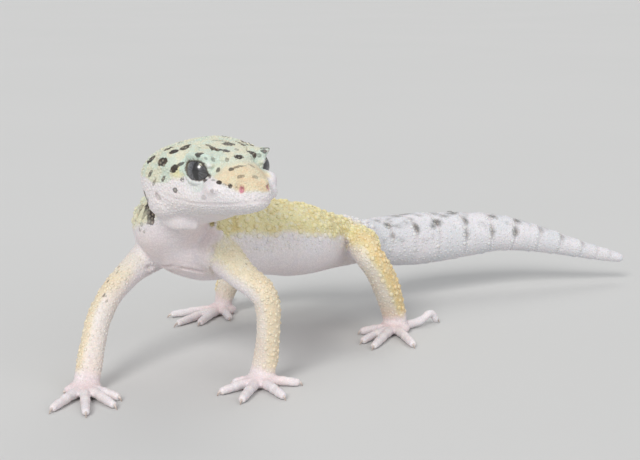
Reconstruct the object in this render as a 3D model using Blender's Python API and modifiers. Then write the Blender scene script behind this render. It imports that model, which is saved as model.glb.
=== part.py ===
"""Leopard gecko (Eublepharis macularius), a still life-size figure of a young adult.

It stands on four feet with its forequarters pushed up, the head raised and turned to its left, and the
tail carried off the floor and curved to its left. Front is -Y, up is +Z, and the floor is z = 0.

The animal is modelled whole and then parted with thin cuts. The torso is a loft along the spine, the head a
loft along its own axis, and each limb and digit a loft along its bones. Ellipsoids and rings add brows,
eyelids, cheeks and muscle. A voxel remesh fuses them, smoothing settles the joins, and thin discs part the
result into head, neck, trunk, tail lengths, arms, legs, hands and feet. The eyes are separate balls.
"""

import math

import bmesh
import bpy
import numpy as np
from mathutils import Matrix, Vector

MM = 0.001

# ---------------------------------------------------------------- driving dimensions, in millimetres
ORIGIN_XY = (7.05, 19.12)  # middle of the footprint box, which becomes the origin
VOXEL = 0.42  # remesh cell that fuses the lofts
TRIANGLES = 5000  # triangles kept for the whole body before it is parted
CUT = 0.3  # width of the thin cuts between neighbours

HEAD_AT = (27.4, -41.9, 46.9)  # midpoint between the two eyeballs
HEAD_YAW = -24.4  # heading of the snout, degrees from +X
HEAD_PITCH = 3.5  # snout up
EYE_R = 3.2
EYE_AT = (-0.4, 5.28, 0.2)  # left eyeball in head axes: forward, left, up
EYE_YAW = 63.0  # eye axis out from the snout direction
EYE_TILT = 8.0
LID_OPENING = (3.7, 2.75, 1.95)  # half sizes of the opening between the lids: deep, wide, high

# Spine from tail tip to skull: name, position, half width, height above it, depth below it, squareness
SPINE = [
    ("tail_tip", (43.6, 106.1, 6.4), 0.85, 0.80, 0.85, 2.0),
    ("tail_end", (42.2, 104.6, 6.9), 1.60, 1.45, 1.60, 2.0),
    ("tail_7", (35.4, 96.2, 9.9), 2.55, 2.15, 2.75, 2.0),
    ("tail_6", (28.0, 87.1, 13.1), 3.7, 3.3, 3.85, 2.0),
    ("tail_5", (20.8, 78.1, 15.3), 5.1, 4.7, 4.9, 2.05),
    ("tail_4", (14.2, 68.4, 15.6), 6.4, 5.9, 6.1, 2.1),
    ("tail_3", (8.9, 57.2, 15.7), 7.1, 6.6, 6.7, 2.15),
    ("tail_2", (5.9, 46.0, 16.6), 6.6, 6.2, 6.4, 2.15),
    ("tail_root", (5.0, 37.0, 17.8), 5.5, 5.4, 5.5, 2.1),
    ("hips", (5.9, 27.0, 19.6), 7.0, 5.9, 6.2, 2.2),
    ("groin", (6.4, 20.6, 20.8), 7.2, 6.3, 6.8, 2.2),
    ("loin", (7.4, 11.5, 22.5), 9.0, 7.2, 7.7, 2.2),
    ("belly", (8.8, 0.0, 24.7), 11.6, 8.5, 8.5, 2.2),
    ("ribs", (8.0, -13.0, 26.5), 10.8, 8.8, 7.8, 2.2),
    ("shoulders", (5.2, -25.0, 28.0), 9.4, 7.7, 8.8, 2.2),
    ("neck_root", (4.6, -32.6, 32.0), 8.8, 7.0, 7.5, 2.1),
    ("neck", (9.1, -35.5, 37.4), 6.9, 6.8, 6.8, 2.05),
    ("nape", (14.6, -37.1, 41.6), 7.2, 7.1, 6.8, 2.05),
    ("skull", (20.4, -39.6, 43.6), 8.0, 6.6, 6.6, 2.0),
]

# Head from nape to snout in head axes: forward, half width, crown, widest level, jaw, squareness up, down
HEAD = [
    (-20.2, 6.6, 2.2, -2.6, -7.6, 2.0, 2.0),
    (-19.0, 9.0, 3.4, -2.3, -10.0, 2.1, 2.0),
    (-17.0, 11.1, 4.3, -2.0, -11.6, 2.2, 2.1),
    (-14.5, 12.2, 4.9, -2.0, -12.0, 2.25, 2.15),
    (-12.0, 12.3, 5.4, -2.4, -11.6, 2.3, 2.3),
    (-9.0, 11.6, 5.9, -3.0, -10.7, 2.3, 2.45),
    (-6.0, 10.4, 6.0, -3.5, -9.9, 2.3, 2.5),
    (-3.0, 9.2, 5.4, -3.7, -9.2, 2.2, 2.5),
    (0.0, 8.3, 4.5, -3.8, -8.8, 2.0, 2.45),
    (3.0, 7.3, 3.3, -3.8, -8.6, 1.85, 2.35),
    (6.0, 6.2, 1.9, -3.9, -8.1, 1.75, 2.25),
    (9.0, 4.85, 0.4, -4.1, -7.6, 1.65, 2.2),
    (11.2, 3.6, -1.0, -4.3, -7.0, 1.65, 2.1),
    (12.3, 2.3, -2.2, -4.4, -6.2, 1.8, 2.0),
    (12.7, 0.8, -3.5, -4.4, -5.2, 2.0, 2.0),
]

# Limbs from trunk to palm: position, half thickness across the limb, half thickness front to back
ARM_LEFT = [
    ((8.0, -25.0, 26.5), 4.4, 4.4),
    ((14.0, -27.6, 25.4), 3.9, 4.1),
    ((20.5, -29.6, 22.8), 3.1, 3.3),
    ((25.3, -29.6, 20.2), 2.85, 2.95),
    ((26.5, -29.0, 17.0), 2.65, 2.7),
    ((26.1, -28.4, 11.0), 2.55, 2.4),
    ((25.1, -28.2, 5.6), 2.75, 1.95),
    ((24.6, -28.8, 2.6), 2.9, 1.6),
]
ARM_RIGHT = [
    ((1.5, -25.0, 26.5), 4.6, 4.6),
    ((-3.4, -29.0, 25.2), 4.1, 4.2),
    ((-5.0, -35.8, 21.6), 3.0, 3.2),
    ((-5.0, -42.0, 17.6), 2.65, 2.8),
    ((-4.4, -46.0, 14.0), 2.65, 2.6),
    ((-3.2, -49.3, 9.2), 2.7, 2.4),
    ((-2.0, -51.7, 5.2), 2.8, 1.95),
    ((-1.4, -53.2, 2.6), 2.9, 1.6),
]
LEG_LEFT = [
    ((5.0, 27.5, 19.4), 5.0, 5.0),
    ((12.0, 24.2, 19.8), 4.7, 4.8),
    ((18.0, 17.8, 20.9), 3.8, 4.0),
    ((21.5, 13.9, 20.6), 3.3, 3.4),
    ((23.1, 16.0, 17.0), 3.25, 3.4),
    ((23.4, 19.6, 11.6), 3.2, 3.2),
    ((22.9, 22.8, 6.6), 3.0, 2.6),
    ((23.0, 24.0, 3.2), 3.0, 1.9),
]
LEG_RIGHT = [
    ((6.0, 27.5, 19.4), 5.0, 5.0),
    ((-0.2, 24.4, 20.0), 4.8, 4.8),
    ((-7.4, 18.8, 21.8), 3.9, 4.1),
    ((-12.6, 14.8, 21.4), 3.4, 3.6),
    ((-15.0, 14.2, 17.4), 3.35, 3.5),
    ((-17.8, 14.6, 11.8), 3.25, 3.2),
    ((-20.6, 14.6, 6.6), 3.0, 2.6),
    ((-21.6, 14.4, 3.2), 3.0, 1.9),
]

# Muscle over each shoulder: middle and half sizes
SHOULDERS = [
    ((-2.6, -30.8, 29.2), (4.4, 4.4, 5.4)),
    ((12.6, -29.4, 27.6), (4.2, 4.2, 4.6)),
]

# Hands and feet: palm centre, heading of the palm, its half length and half width,
# then the claw tips of the five digits from the inner side outwards, some with the height of an arch
HANDS = {
    "hand_left": ((24.5, -29.6), -70.0, 3.3, 3.7,
                  [(19.9, -33.0), (22.0, -40.0), (29.5, -41.9), (35.2, -34.5), (31.8, -24.3)]),
    "hand_right": ((-1.0, -54.3), -60.0, 3.3, 3.7,
                   [(9.0, -54.0), (12.1, -58.6), (10.8, -65.7), (3.2, -68.1), (-3.6, -57.4)]),
    "foot_left": ((23.2, 23.4), -66.0, 3.8, 3.8,
                  [(17.7, 16.3), (23.1, 9.2), (28.2, 6.6), (35.1, 13.7), (27.2, 37.4, 2.0)]),
    "foot_right": ((-21.8, 13.8), -98.0, 3.8, 3.8,
                   [(-14.4, 8.3), (-17.6, 0.0), (-21.8, -3.9), (-29.4, 2.2), (-29.9, 26.6, 1.4)]),
}
PALM_Z = 1.15
PALM_HALF_HEIGHT = 1.45
TOE_BASE_R = 1.12
TOE_MID_R = 1.02
TOE_TIP_R = 0.70
CLAW_R = 0.28


# ---------------------------------------------------------------- curves and lofts


def catmull(values, t):
    """Value of a smooth curve through the rows of values at parameter t, counted in rows."""
    values = np.asarray(values, float)
    last = len(values) - 1
    i = int(min(max(math.floor(t), 0), last - 1))
    f = t - i
    p1, p2 = values[i], values[i + 1]
    p0 = values[i - 1] if i > 0 else 2 * p1 - p2
    p3 = values[i + 2] if i + 2 <= last else 2 * p2 - p1
    return 0.5 * (
        2 * p1
        + (p2 - p0) * f
        + (2 * p0 - 5 * p1 + 4 * p2 - p3) * f * f
        + (3 * p1 - p0 - 3 * p2 + p3) * f**3
    )


def resample(rows, step):
    """Rows of a smooth curve through the given rows, about step apart along their first three columns."""
    rows = np.asarray(rows, float)
    out = []
    for i in range(len(rows) - 1):
        length = np.linalg.norm(rows[i + 1, :3] - rows[i, :3])
        n = max(2, int(math.ceil(length / step)))
        out += [catmull(rows, i + k / n) for k in range(n)]
    out.append(rows[-1])
    return np.array(out)


def superellipse(angle, power):
    c, s = math.cos(angle), math.sin(angle)
    return (
        math.copysign(abs(c) ** (2 / power), c),
        math.copysign(abs(s) ** (2 / power), s),
    )


def add_rings(bm, rings):
    """A closed tube through rings of equal point counts, with a pole at each end."""
    made = [[bm.verts.new(Vector(p) * MM) for p in ring] for ring in rings]
    n = len(made[0])
    for a, b in zip(made, made[1:]):
        for j in range(n):
            k = (j + 1) % n
            bm.faces.new((a[j], a[k], b[k], b[j]))
    for ring, turn in ((made[0], True), (made[-1], False)):
        pole = bm.verts.new(sum((v.co for v in ring), Vector()) / n)
        for j in range(n):
            k = (j + 1) % n
            bm.faces.new((pole, ring[k], ring[j]) if turn else (pole, ring[j], ring[k]))


def tube(bm, rows, up=(0, 0, 1), step=1.0, points=24):
    """Loft along rows of x, y, z, half width, height above, depth below, squareness."""
    rows = resample(rows, step)
    centres = rows[:, :3]
    rings = []
    for i, row in enumerate(rows):
        ahead = centres[min(i + 1, len(rows) - 1)] - centres[max(i - 1, 0)]
        ahead = Vector(ahead).normalized()
        side = ahead.cross(Vector(up)).normalized()
        top = side.cross(ahead).normalized()
        ring = []
        for k in range(points):
            c, s = superellipse(2 * math.pi * k / points, row[6])
            height = row[4] if s > 0 else row[5]
            ring.append(Vector(row[:3]) + side * (-c * row[3]) + top * (s * height))
        rings.append(ring)
    add_rings(bm, rings)


def head_matrix():
    """Head axes to world axes, in millimetres: forward, left, up."""
    yaw, pitch = math.radians(HEAD_YAW), math.radians(HEAD_PITCH)
    turn = Matrix.Rotation(yaw, 4, "Z") @ Matrix.Rotation(-pitch, 4, "Y")
    return Matrix.Translation(Vector(HEAD_AT)) @ turn


def ball(bm, at, size, axes=None, segments=24):
    """Ellipsoid of half sizes in millimetres, at a point, turned by the given rotation."""
    matrix = Matrix.Translation(Vector(at) * MM)
    if axes is not None:
        matrix = matrix @ axes.to_4x4()
    matrix = matrix @ Matrix.Diagonal((size[0] * MM, size[1] * MM, size[2] * MM, 1))
    bmesh.ops.create_uvsphere(bm, u_segments=segments, v_segments=segments // 2 + 1, radius=1.0, matrix=matrix)


def build_torso(bm):
    rows = [(*at, w, top, low, sq) for _, at, w, top, low, sq in SPINE]
    tube(bm, rows, step=1.2, points=40)


def build_head(bm):
    to_world = head_matrix()
    rows = resample([(f, 0, 0, w, top, mid, low, a, b) for f, w, top, mid, low, a, b in HEAD], 0.7)
    rings = []
    for row in rows:
        f, _, _, w, top, mid, low, up_power, low_power = row
        ring = []
        for k in range(48):
            angle = 2 * math.pi * k / 48
            c, s = superellipse(angle, up_power if math.sin(angle) > 0 else low_power)
            height = top - mid if s > 0 else mid - low
            ring.append(to_world @ Vector((f, -c * w, mid + s * height)))
        rings.append(ring)
    add_rings(bm, rings)
    turn = to_world.to_3x3()
    ball(bm, to_world @ Vector((-0.8, 0, 3.5)), (6.2, 6.4, 1.3),
         turn @ Matrix.Rotation(math.radians(12), 3, "Y"))
    # loose throat skin, bunched on the side away from the turn of the head
    ball(bm, to_world @ Vector((-11.4, -6.3, -9.6)), (4.9, 2.0, 2.8),
         turn @ Matrix.Rotation(math.radians(24), 3, "Z") @ Matrix.Rotation(math.radians(14), 3, "Y"))
    # swelling in front of each eye, below it
    ball(bm, to_world @ Vector((3.9, 5.9, -2.1)), (3.0, 1.9, 2.0), turn)
    ball(bm, to_world @ Vector((3.8, 5.8, -4.1)), (3.3, 2.0, 2.3), turn)
    ball(bm, to_world @ Vector((4.4, -5.8, -3.0)), (3.2, 1.6, 1.3), turn)
    for side in (1, -1):
        aim = eye_turn(side)
        eye = Vector((EYE_AT[0], EYE_AT[1] * side, EYE_AT[2]))
        socket = to_world @ eye
        # brow over the eye with its outer corner, temple and jaw muscle behind it, nostril bump
        ball(bm, to_world @ Vector((-0.4, 5.5 * side, 2.4)), (5.4, 3.1, 1.4),
             turn @ Matrix.Rotation(math.radians(12), 3, "Y"))
        ball(bm, to_world @ Vector((1.9, 7.0 * side, 2.7)), (2.5, 1.7, 0.8),
             turn @ Matrix.Rotation(math.radians(14) * side, 3, "Z"))
        ball(bm, to_world @ Vector((-8.8, 7.2 * side, 0.6)), (5.6, 3.8, 3.8), turn)
        ball(bm, to_world @ Vector((-11.6, 8.6 * side, -5.6)), (5.0, 3.3, 4.4), turn)
        ball(bm, to_world @ Vector((10.2, 2.5 * side, -2.1)), (1.6, 1.3, 1.2), turn)
        # eyelid ring
        rings = []
        for i in range(28):
            a = 2 * math.pi * i / 28
            out = Vector((0.0, math.cos(a) * 3.0, math.sin(a) * 2.45))
            middle = aim @ (Vector((1.6, 0, -0.1)) + out)
            normal = (aim @ out).normalized()
            axis = (aim @ Vector((1, 0, 0))).normalized()
            rings.append([socket + middle + normal * (0.62 * math.cos(b)) + axis * (0.62 * math.sin(b))
                          for b in (2 * math.pi * j / 10 for j in range(10))])
        made = [[bm.verts.new(Vector(p) * MM) for p in ring] for ring in rings]
        for i in range(28):
            for j in range(10):
                a, b = made[i], made[(i + 1) % 28]
                bm.faces.new((a[j], b[j], b[(j + 1) % 10], a[(j + 1) % 10]))


def build_shoulders(bm):
    for at, size in SHOULDERS:
        ball(bm, at, size)


def build_limb(bm, joints, up):
    rows = [(*at, a, b, b, 2.0) for at, a, b in joints]
    tube(bm, rows, up=up, step=1.0, points=20)


def build_hand(bm, centre, heading, half_length, half_width, tips):
    turn = Matrix.Rotation(math.radians(heading), 3, "Z")
    ball(bm, (*centre, PALM_Z), (half_length, half_width, PALM_HALF_HEIGHT), turn)
    for tip in tips:
        reach = Vector((tip[0] - centre[0], tip[1] - centre[1], 0))
        along = reach.normalized()
        start = Vector((*centre, 0)) + along * 0.8
        length = reach.length - 0.8
        # share of the reach, height of the bone, radius: arched at the knuckle, down at the tip
        rows = [
            (0.00, 1.20, TOE_BASE_R),
            (0.30, 1.25, TOE_BASE_R),
            (0.50, 1.25, TOE_MID_R),
            (0.68, 1.22, 0.94),
            (0.84, 0.86, 0.84),
            (0.92, 0.58, TOE_TIP_R),
            (0.96, 0.52, 0.44),
            (1.00, 0.34, CLAW_R),
        ]
        arch = tip[2] if len(tip) > 2 else 0.0
        rows = [(share, z + arch * math.sin(math.pi * min(share / 0.925, 1.0) ** 4.0) ** 1.6, r) for share, z, r in rows]
        tube(bm, [(*(start + along * (length * share)).xy, z, r, r, r, 2.0) for share, z, r in rows],
             step=0.5, points=14)


# ---------------------------------------------------------------- scene helpers


def clear():
    for obj in list(bpy.data.objects):
        bpy.data.objects.remove(obj)


def collection(name):
    made = bpy.data.collections.new(name)
    bpy.context.scene.collection.children.link(made)
    return made


def new_object(name, mesh, home):
    obj = bpy.data.objects.new(name, mesh)
    home.objects.link(obj)
    return obj


def mesh_from(bm, name):
    bmesh.ops.recalc_face_normals(bm, faces=bm.faces)
    mesh = bpy.data.meshes.new(name)
    bm.to_mesh(mesh)
    bm.free()
    return mesh


def evaluated(obj, name):
    bpy.context.view_layer.update()
    graph = bpy.context.evaluated_depsgraph_get()
    return bpy.data.meshes.new_from_object(obj.evaluated_get(graph), depsgraph=graph).copy()


def material(name, colour, roughness):
    made = bpy.data.materials.new(name)
    made.use_nodes = True
    shader = made.node_tree.nodes["Principled BSDF"]
    shader.inputs["Base Color"].default_value = (*colour, 1)
    shader.inputs["Roughness"].default_value = roughness
    shader.inputs["Metallic"].default_value = 0.0
    return made


def disc(bm, at, along, radius, thick=CUT):
    """A thin round cutter across a limb or the spine."""
    turn = Vector(along).normalized().to_track_quat("Z", "Y").to_matrix().to_4x4()
    matrix = Matrix.Translation(Vector(at) * MM) @ turn
    bmesh.ops.create_cone(bm, cap_ends=True, segments=32, radius1=radius * MM, radius2=radius * MM,
                          depth=thick * MM, matrix=matrix)


def spine_cut(name, share=0.0):
    """Point and direction on the spine at a named station, or a share of the way to the next one."""
    names = [s[0] for s in SPINE]
    rows = [s[1] for s in SPINE]
    t = names.index(name) + share
    a, b = catmull(rows, t - 0.02), catmull(rows, t + 0.02)
    return (a + b) / 2, b - a


def limb_cut(joints, t):
    rows = [j[0] for j in joints]
    a, b = catmull(rows, t - 0.02), catmull(rows, t + 0.02)
    return (a + b) / 2, b - a


def head_point(f, l, u):
    return head_matrix() @ Vector((f, l, u))


def head_turn(f, l, u):
    return head_matrix().to_3x3() @ Vector((f, l, u))


# Cuts between neighbours: point, direction across the cut, radius of the cutting disc
SPINE_CUTS = [
    (*spine_cut("tail_6", 0.0), 9.0),
    (*spine_cut("tail_4", 0.3), 12.0),
    (*spine_cut("tail_root", 0.0), 12.0),
    (*spine_cut("belly", 0.15), 17.0),
    (*spine_cut("neck_root", -0.1), 12.0),
]
SKULL_CUT = (head_point(-16.4, 0.0, -3.5), head_turn(0.94, 0.0, 0.34), 12.5)
# Limbs: joints, flat direction, then the cuts at shoulder or hip, elbow or knee, wrist or ankle,
# each as a place along the joints, a direction across the cut (None follows the limb) and a radius
LIMBS = {
    "arm_left": (ARM_LEFT, (0.3, -1, 0.2),
                 [(1.37, (0.88, -0.28, -0.39), 5.0), (3.5, None, 4.2), (6.25, None, 4.2)]),
    "arm_right": (ARM_RIGHT, (0.8, -0.6, 0.3),
                  [(1.52, (-0.28, -0.75, -0.60), 4.8), (3.45, None, 4.2), (6.25, None, 4.2)]),
    "leg_left": (LEG_LEFT, (0.5, -1, 0.1),
                 [(2.0, (0.98, -0.16, 0.1), 6.6), (4.0, (0.14, 0.12, -0.98), 4.6), (6.2, None, 4.4)]),
    "leg_right": (LEG_RIGHT, (-0.4, -1, 0.1),
                  [(1.5, (-0.88, -0.40, 0.15), 5.8), (3.6, None, 4.8), (6.2, None, 4.4)]),
}
LIMB_NODES = {
    "arm_left": ("arm_left_upper", "arm_left_lower", "hand_left"),
    "arm_right": ("arm_right_upper", "arm_right_lower", "hand_right"),
    "leg_left": ("leg_left_upper", "leg_left_lower", "foot_left"),
    "leg_right": ("leg_right_upper", "leg_right_lower", "foot_right"),
}


def anchors():
    """A point inside each piece, to name the pieces after the cuts."""
    names = [s[0] for s in SPINE]
    at = {s[0]: Vector(s[1]) for s in SPINE}
    rows = [s[1] for s in SPINE]
    found = {
        "tail_tip": at["tail_7"],
        "tail_middle": at["tail_5"],
        "tail_base": at["tail_3"] * 0.5 + at["tail_2"] * 0.5,
        "trunk_rear": Vector(catmull(rows, names.index("loin"))),
        "trunk_front": at["ribs"],
        "neck": at["neck"],
        "head": head_point(-3.0, 0.0, -2.5),
    }
    for limb, (joints, _, _) in LIMBS.items():
        upper, lower, end = LIMB_NODES[limb]
        points = [j[0] for j in joints]
        found[upper] = Vector(catmull(points, 2.6))
        found[lower] = Vector(catmull(points, 5.0))
        found[end] = Vector((*HANDS[end][0], 1.0))
    return found


# node: colour, roughness
FINISH = {
    "head": ((0.80, 0.76, 0.58), 0.55),
    "neck": ((0.78, 0.72, 0.48), 0.6),
    "trunk_front": ((0.78, 0.68, 0.38), 0.6),
    "trunk_rear": ((0.76, 0.64, 0.34), 0.6),
    "tail_base": ((0.72, 0.71, 0.70), 0.6),
    "tail_middle": ((0.74, 0.73, 0.74), 0.6),
    "tail_tip": ((0.72, 0.71, 0.74), 0.6),
    "arm": ((0.82, 0.74, 0.62), 0.55),
    "hand": ((0.84, 0.74, 0.72), 0.5),
    "leg": ((0.80, 0.66, 0.42), 0.55),
    "foot": ((0.84, 0.74, 0.72), 0.5),
    "eye": ((0.05, 0.055, 0.06), 0.08),
}


def finish_for(node):
    colour, roughness = FINISH.get(node) or FINISH[node.split("_")[0]]
    return material(node + "_skin" if not node.startswith("eye") else node, colour, roughness)


def fused_body(helpers):
    """The whole animal as one smooth closed mesh."""
    bm = bmesh.new()
    build_torso(bm)
    build_head(bm)
    build_shoulders(bm)
    for joints, up, _ in LIMBS.values():
        build_limb(bm, joints, up)
    for spec in HANDS.values():
        build_hand(bm, *spec)
    whole = new_object("whole_body", mesh_from(bm, "whole_body"), helpers)
    fuse = whole.modifiers.new("fuse", "REMESH")
    fuse.mode = "VOXEL"
    fuse.voxel_size = VOXEL * MM
    settle = whole.modifiers.new("settle", "SMOOTH")
    settle.factor = 0.5
    settle.iterations = 5
    thin = whole.modifiers.new("thin_out", "DECIMATE")
    bpy.context.view_layer.update()
    thin.show_viewport = False
    fused = evaluated(whole, "fused")
    thin.ratio = TRIANGLES / (2 * len(fused.polygons))
    thin.show_viewport = True
    body = new_object("body", evaluated(whole, "body"), helpers)
    bpy.data.objects.remove(whole)
    return body


def cutter(bm, helpers, name):
    tool = new_object(name, mesh_from(bm, name), helpers)
    tool.hide_render = True
    tool.display_type = "WIRE"
    return tool


def spine_cutter(helpers):
    """Discs along the spine, sockets round the eyes, ear pits, and the floor under the soles."""
    bm = bmesh.new()
    for at, along, radius in SPINE_CUTS:
        disc(bm, at, along, radius)
    for side in (1, -1):
        ball(bm, head_point(EYE_AT[0], EYE_AT[1] * side, EYE_AT[2]), [EYE_R + CUT] * 3, segments=16)
        ball(bm, head_point(-9.0, 11.7 * side, -5.1), (0.9, 1.1, 1.5), head_matrix().to_3x3(), 10)
    bmesh.ops.create_cube(bm, size=1.0, matrix=Matrix.Translation((0.010, 0.020, -0.005))
                          @ Matrix.Diagonal((0.2, 0.3, 0.010, 1)))
    return cutter(bm, helpers, "spine_cutter")


def eye_turn(side):
    """Eye axes to world axes: along the eye, across it, up."""
    return (head_matrix().to_3x3() @ Matrix.Rotation(math.radians(EYE_YAW) * side, 3, "Z")
            @ Matrix.Rotation(-math.radians(EYE_TILT), 3, "Y"))


def limb_cutter(helpers):
    """Discs across the limbs and behind the skull, and the openings between the eyelids."""
    bm = bmesh.new()
    for side in (1, -1):
        turn = eye_turn(side)
        eye = head_point(EYE_AT[0], EYE_AT[1] * side, EYE_AT[2])
        ball(bm, eye + turn @ Vector((EYE_R + 0.6, -0.1 * side, -0.25)), LID_OPENING, turn, 16)
    disc(bm, *SKULL_CUT)
    for joints, _, places in LIMBS.values():
        for t, along, radius in places:
            at, direction = limb_cut(joints, t)
            disc(bm, at, along or direction, radius)
    return cutter(bm, helpers, "limb_cutter")


def islands(bm):
    """Lists of connected vertices."""
    left, found = set(bm.verts), []
    while left:
        seed = left.pop()
        group, front = [seed], [seed]
        while front:
            v = front.pop()
            for e in v.link_edges:
                o = e.other_vert(v)
                if o in left:
                    left.remove(o)
                    group.append(o)
                    front.append(o)
        found.append(group)
    return found


def part_body(body, home):
    """One object for each piece that the cuts leave, named by the nearest anchor."""
    bm = bmesh.new()
    bm.from_mesh(body)
    bmesh.ops.remove_doubles(bm, verts=bm.verts, dist=0.000004)
    places = anchors()
    pieces = {}
    for group in islands(bm):
        middle = sum((v.co for v in group), Vector()) / len(group) / MM
        name = min(places, key=lambda n: (places[n] - middle).length)
        pieces.setdefault(name, []).append(group)
    shift = Vector((-ORIGIN_XY[0] * MM, -ORIGIN_XY[1] * MM, 0))
    for name, groups in sorted(pieces.items()):
        groups.sort(key=len, reverse=True)
        piece = bm.copy()
        piece.verts.ensure_lookup_table()
        inside = {v.index for v in groups[0]}
        bmesh.ops.delete(piece, geom=[v for v in piece.verts if v.index not in inside], context="VERTS")
        bmesh.ops.translate(piece, verts=piece.verts, vec=shift)
        bmesh.ops.triangulate(piece, faces=piece.faces)
        bmesh.ops.dissolve_degenerate(piece, edges=piece.edges, dist=0.000002)
        mesh = mesh_from(piece, name)
        mesh.shade_smooth()
        mesh.set_sharp_from_angle(angle=math.radians(55))
        obj = new_object(name, mesh, home)
        obj.data.materials.append(finish_for(name))
    bm.free()


def build_eyes(home):
    for side, name in ((1, "eye_left"), (-1, "eye_right")):
        bm = bmesh.new()
        at = head_point(EYE_AT[0], EYE_AT[1] * side, EYE_AT[2]) - Vector((*ORIGIN_XY, 0))
        ball(bm, at, [EYE_R] * 3, segments=20)
        mesh = mesh_from(bm, name)
        mesh.shade_smooth()
        obj = new_object(name, mesh, home)
        obj.data.materials.append(finish_for(name))


def main():
    clear()
    home = collection("leopard_gecko")
    helpers = collection("cutters")
    helpers.hide_render = True
    body = fused_body(helpers)
    tools = [spine_cutter(helpers), limb_cutter(helpers)]
    for tool in tools:
        cut = body.modifiers.new("cut_" + tool.name, "BOOLEAN")
        cut.operation = "DIFFERENCE"
        cut.solver = "EXACT"
        cut.object = tool
    parted = evaluated(body, "parted")
    for used in [body] + tools:
        bpy.data.objects.remove(used)
    part_body(parted, home)
    build_eyes(home)


main()
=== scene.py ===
"""Looks of the leopard gecko: one skin over the whole animal, with eyes, claws, tubercles and scales on it."""
import math

import bmesh
import bpy
import numpy as np
from mathutils import Matrix, Vector
from mathutils.kdtree import KDTree


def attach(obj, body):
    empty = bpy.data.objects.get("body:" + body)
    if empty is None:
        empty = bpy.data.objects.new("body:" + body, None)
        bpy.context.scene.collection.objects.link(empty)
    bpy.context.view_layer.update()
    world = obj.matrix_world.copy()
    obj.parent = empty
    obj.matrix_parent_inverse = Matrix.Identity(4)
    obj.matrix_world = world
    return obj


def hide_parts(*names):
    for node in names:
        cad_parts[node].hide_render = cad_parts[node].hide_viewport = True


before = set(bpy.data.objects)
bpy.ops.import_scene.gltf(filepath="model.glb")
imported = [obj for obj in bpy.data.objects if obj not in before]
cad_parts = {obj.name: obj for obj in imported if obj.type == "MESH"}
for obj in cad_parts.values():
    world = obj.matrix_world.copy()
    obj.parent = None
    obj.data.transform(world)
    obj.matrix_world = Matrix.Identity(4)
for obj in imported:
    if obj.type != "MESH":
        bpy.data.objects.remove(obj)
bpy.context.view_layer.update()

MM = 0.001
ORIGIN = np.array([7.05, 19.12, 0.0])  # model millimetres to the row frame: (point - ORIGIN) * MM

# ------------------------------------------------------------------ driving dimensions, as in the CAD, in mm
VOXEL = 0.27
HEAD_AT = (27.4, -41.9, 46.9)
HEAD_YAW = -24.4
HEAD_PITCH = 3.5
EYE_R = 3.2
EYE_AT = (-0.4, 5.28, 0.2)
EYE_YAW = 63.0
EYE_TILT = 8.0

SPINE = [
    ("tail_tip", (43.6, 106.1, 6.4), 0.85, 0.80, 0.85, 2.0),
    ("tail_end", (42.2, 104.6, 6.9), 1.60, 1.45, 1.60, 2.0),
    ("tail_7", (35.4, 96.2, 9.9), 2.55, 2.15, 2.75, 2.0),
    ("tail_6", (28.0, 87.1, 13.1), 3.7, 3.3, 3.85, 2.0),
    ("tail_5", (20.8, 78.1, 15.3), 5.1, 4.7, 4.9, 2.05),
    ("tail_4", (14.2, 68.4, 15.6), 6.4, 5.9, 6.1, 2.1),
    ("tail_3", (8.9, 57.2, 15.7), 7.1, 6.6, 6.7, 2.15),
    ("tail_2", (5.9, 46.0, 16.6), 6.6, 6.2, 6.4, 2.15),
    ("tail_root", (5.0, 37.0, 17.8), 5.5, 5.4, 5.5, 2.1),
    ("hips", (5.9, 27.0, 19.6), 7.0, 5.9, 6.2, 2.2),
    ("groin", (6.4, 20.6, 20.8), 7.2, 6.3, 6.8, 2.2),
    ("loin", (7.4, 11.5, 22.5), 9.0, 7.2, 7.7, 2.2),
    ("belly", (8.8, 0.0, 24.7), 11.6, 8.5, 8.5, 2.2),
    ("ribs", (8.0, -13.0, 26.5), 10.8, 8.8, 7.8, 2.2),
    ("shoulders", (5.2, -25.0, 28.0), 9.4, 7.7, 8.8, 2.2),
    ("neck_root", (4.6, -32.6, 32.0), 8.8, 7.0, 7.5, 2.1),
    ("neck", (9.1, -35.5, 37.4), 6.9, 6.8, 6.8, 2.05),
    ("nape", (14.6, -37.1, 41.6), 7.2, 7.1, 6.8, 2.05),
    ("skull", (20.4, -39.6, 43.6), 8.0, 6.6, 6.6, 2.0),
]
HEAD = [
    (-20.2, 6.6, 2.2, -2.6, -7.6, 2.0, 2.0),
    (-19.0, 9.0, 3.4, -2.3, -10.0, 2.1, 2.0),
    (-17.0, 11.1, 4.3, -2.0, -11.6, 2.2, 2.1),
    (-14.5, 12.2, 4.9, -2.0, -12.0, 2.25, 2.15),
    (-12.0, 12.3, 5.4, -2.4, -11.6, 2.3, 2.3),
    (-9.0, 11.6, 5.9, -3.0, -10.7, 2.3, 2.45),
    (-6.0, 10.4, 6.0, -3.5, -9.9, 2.3, 2.5),
    (-3.0, 9.2, 5.4, -3.7, -9.2, 2.2, 2.5),
    (0.0, 8.3, 4.5, -3.8, -8.8, 2.0, 2.45),
    (3.0, 7.3, 3.3, -3.8, -8.6, 1.85, 2.35),
    (6.0, 6.2, 1.9, -3.9, -8.1, 1.65, 2.25),
    (9.0, 4.85, 0.4, -4.1, -7.6, 1.5, 2.2),
    (11.2, 3.6, -1.0, -4.3, -7.0, 1.5, 2.1),
    (12.3, 2.3, -2.2, -4.4, -6.2, 1.7, 2.0),
    (12.7, 0.8, -3.5, -4.4, -5.2, 2.0, 2.0),
]
SNOUT_BEND = -0.35  # the snout's slight turn to its right
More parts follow.
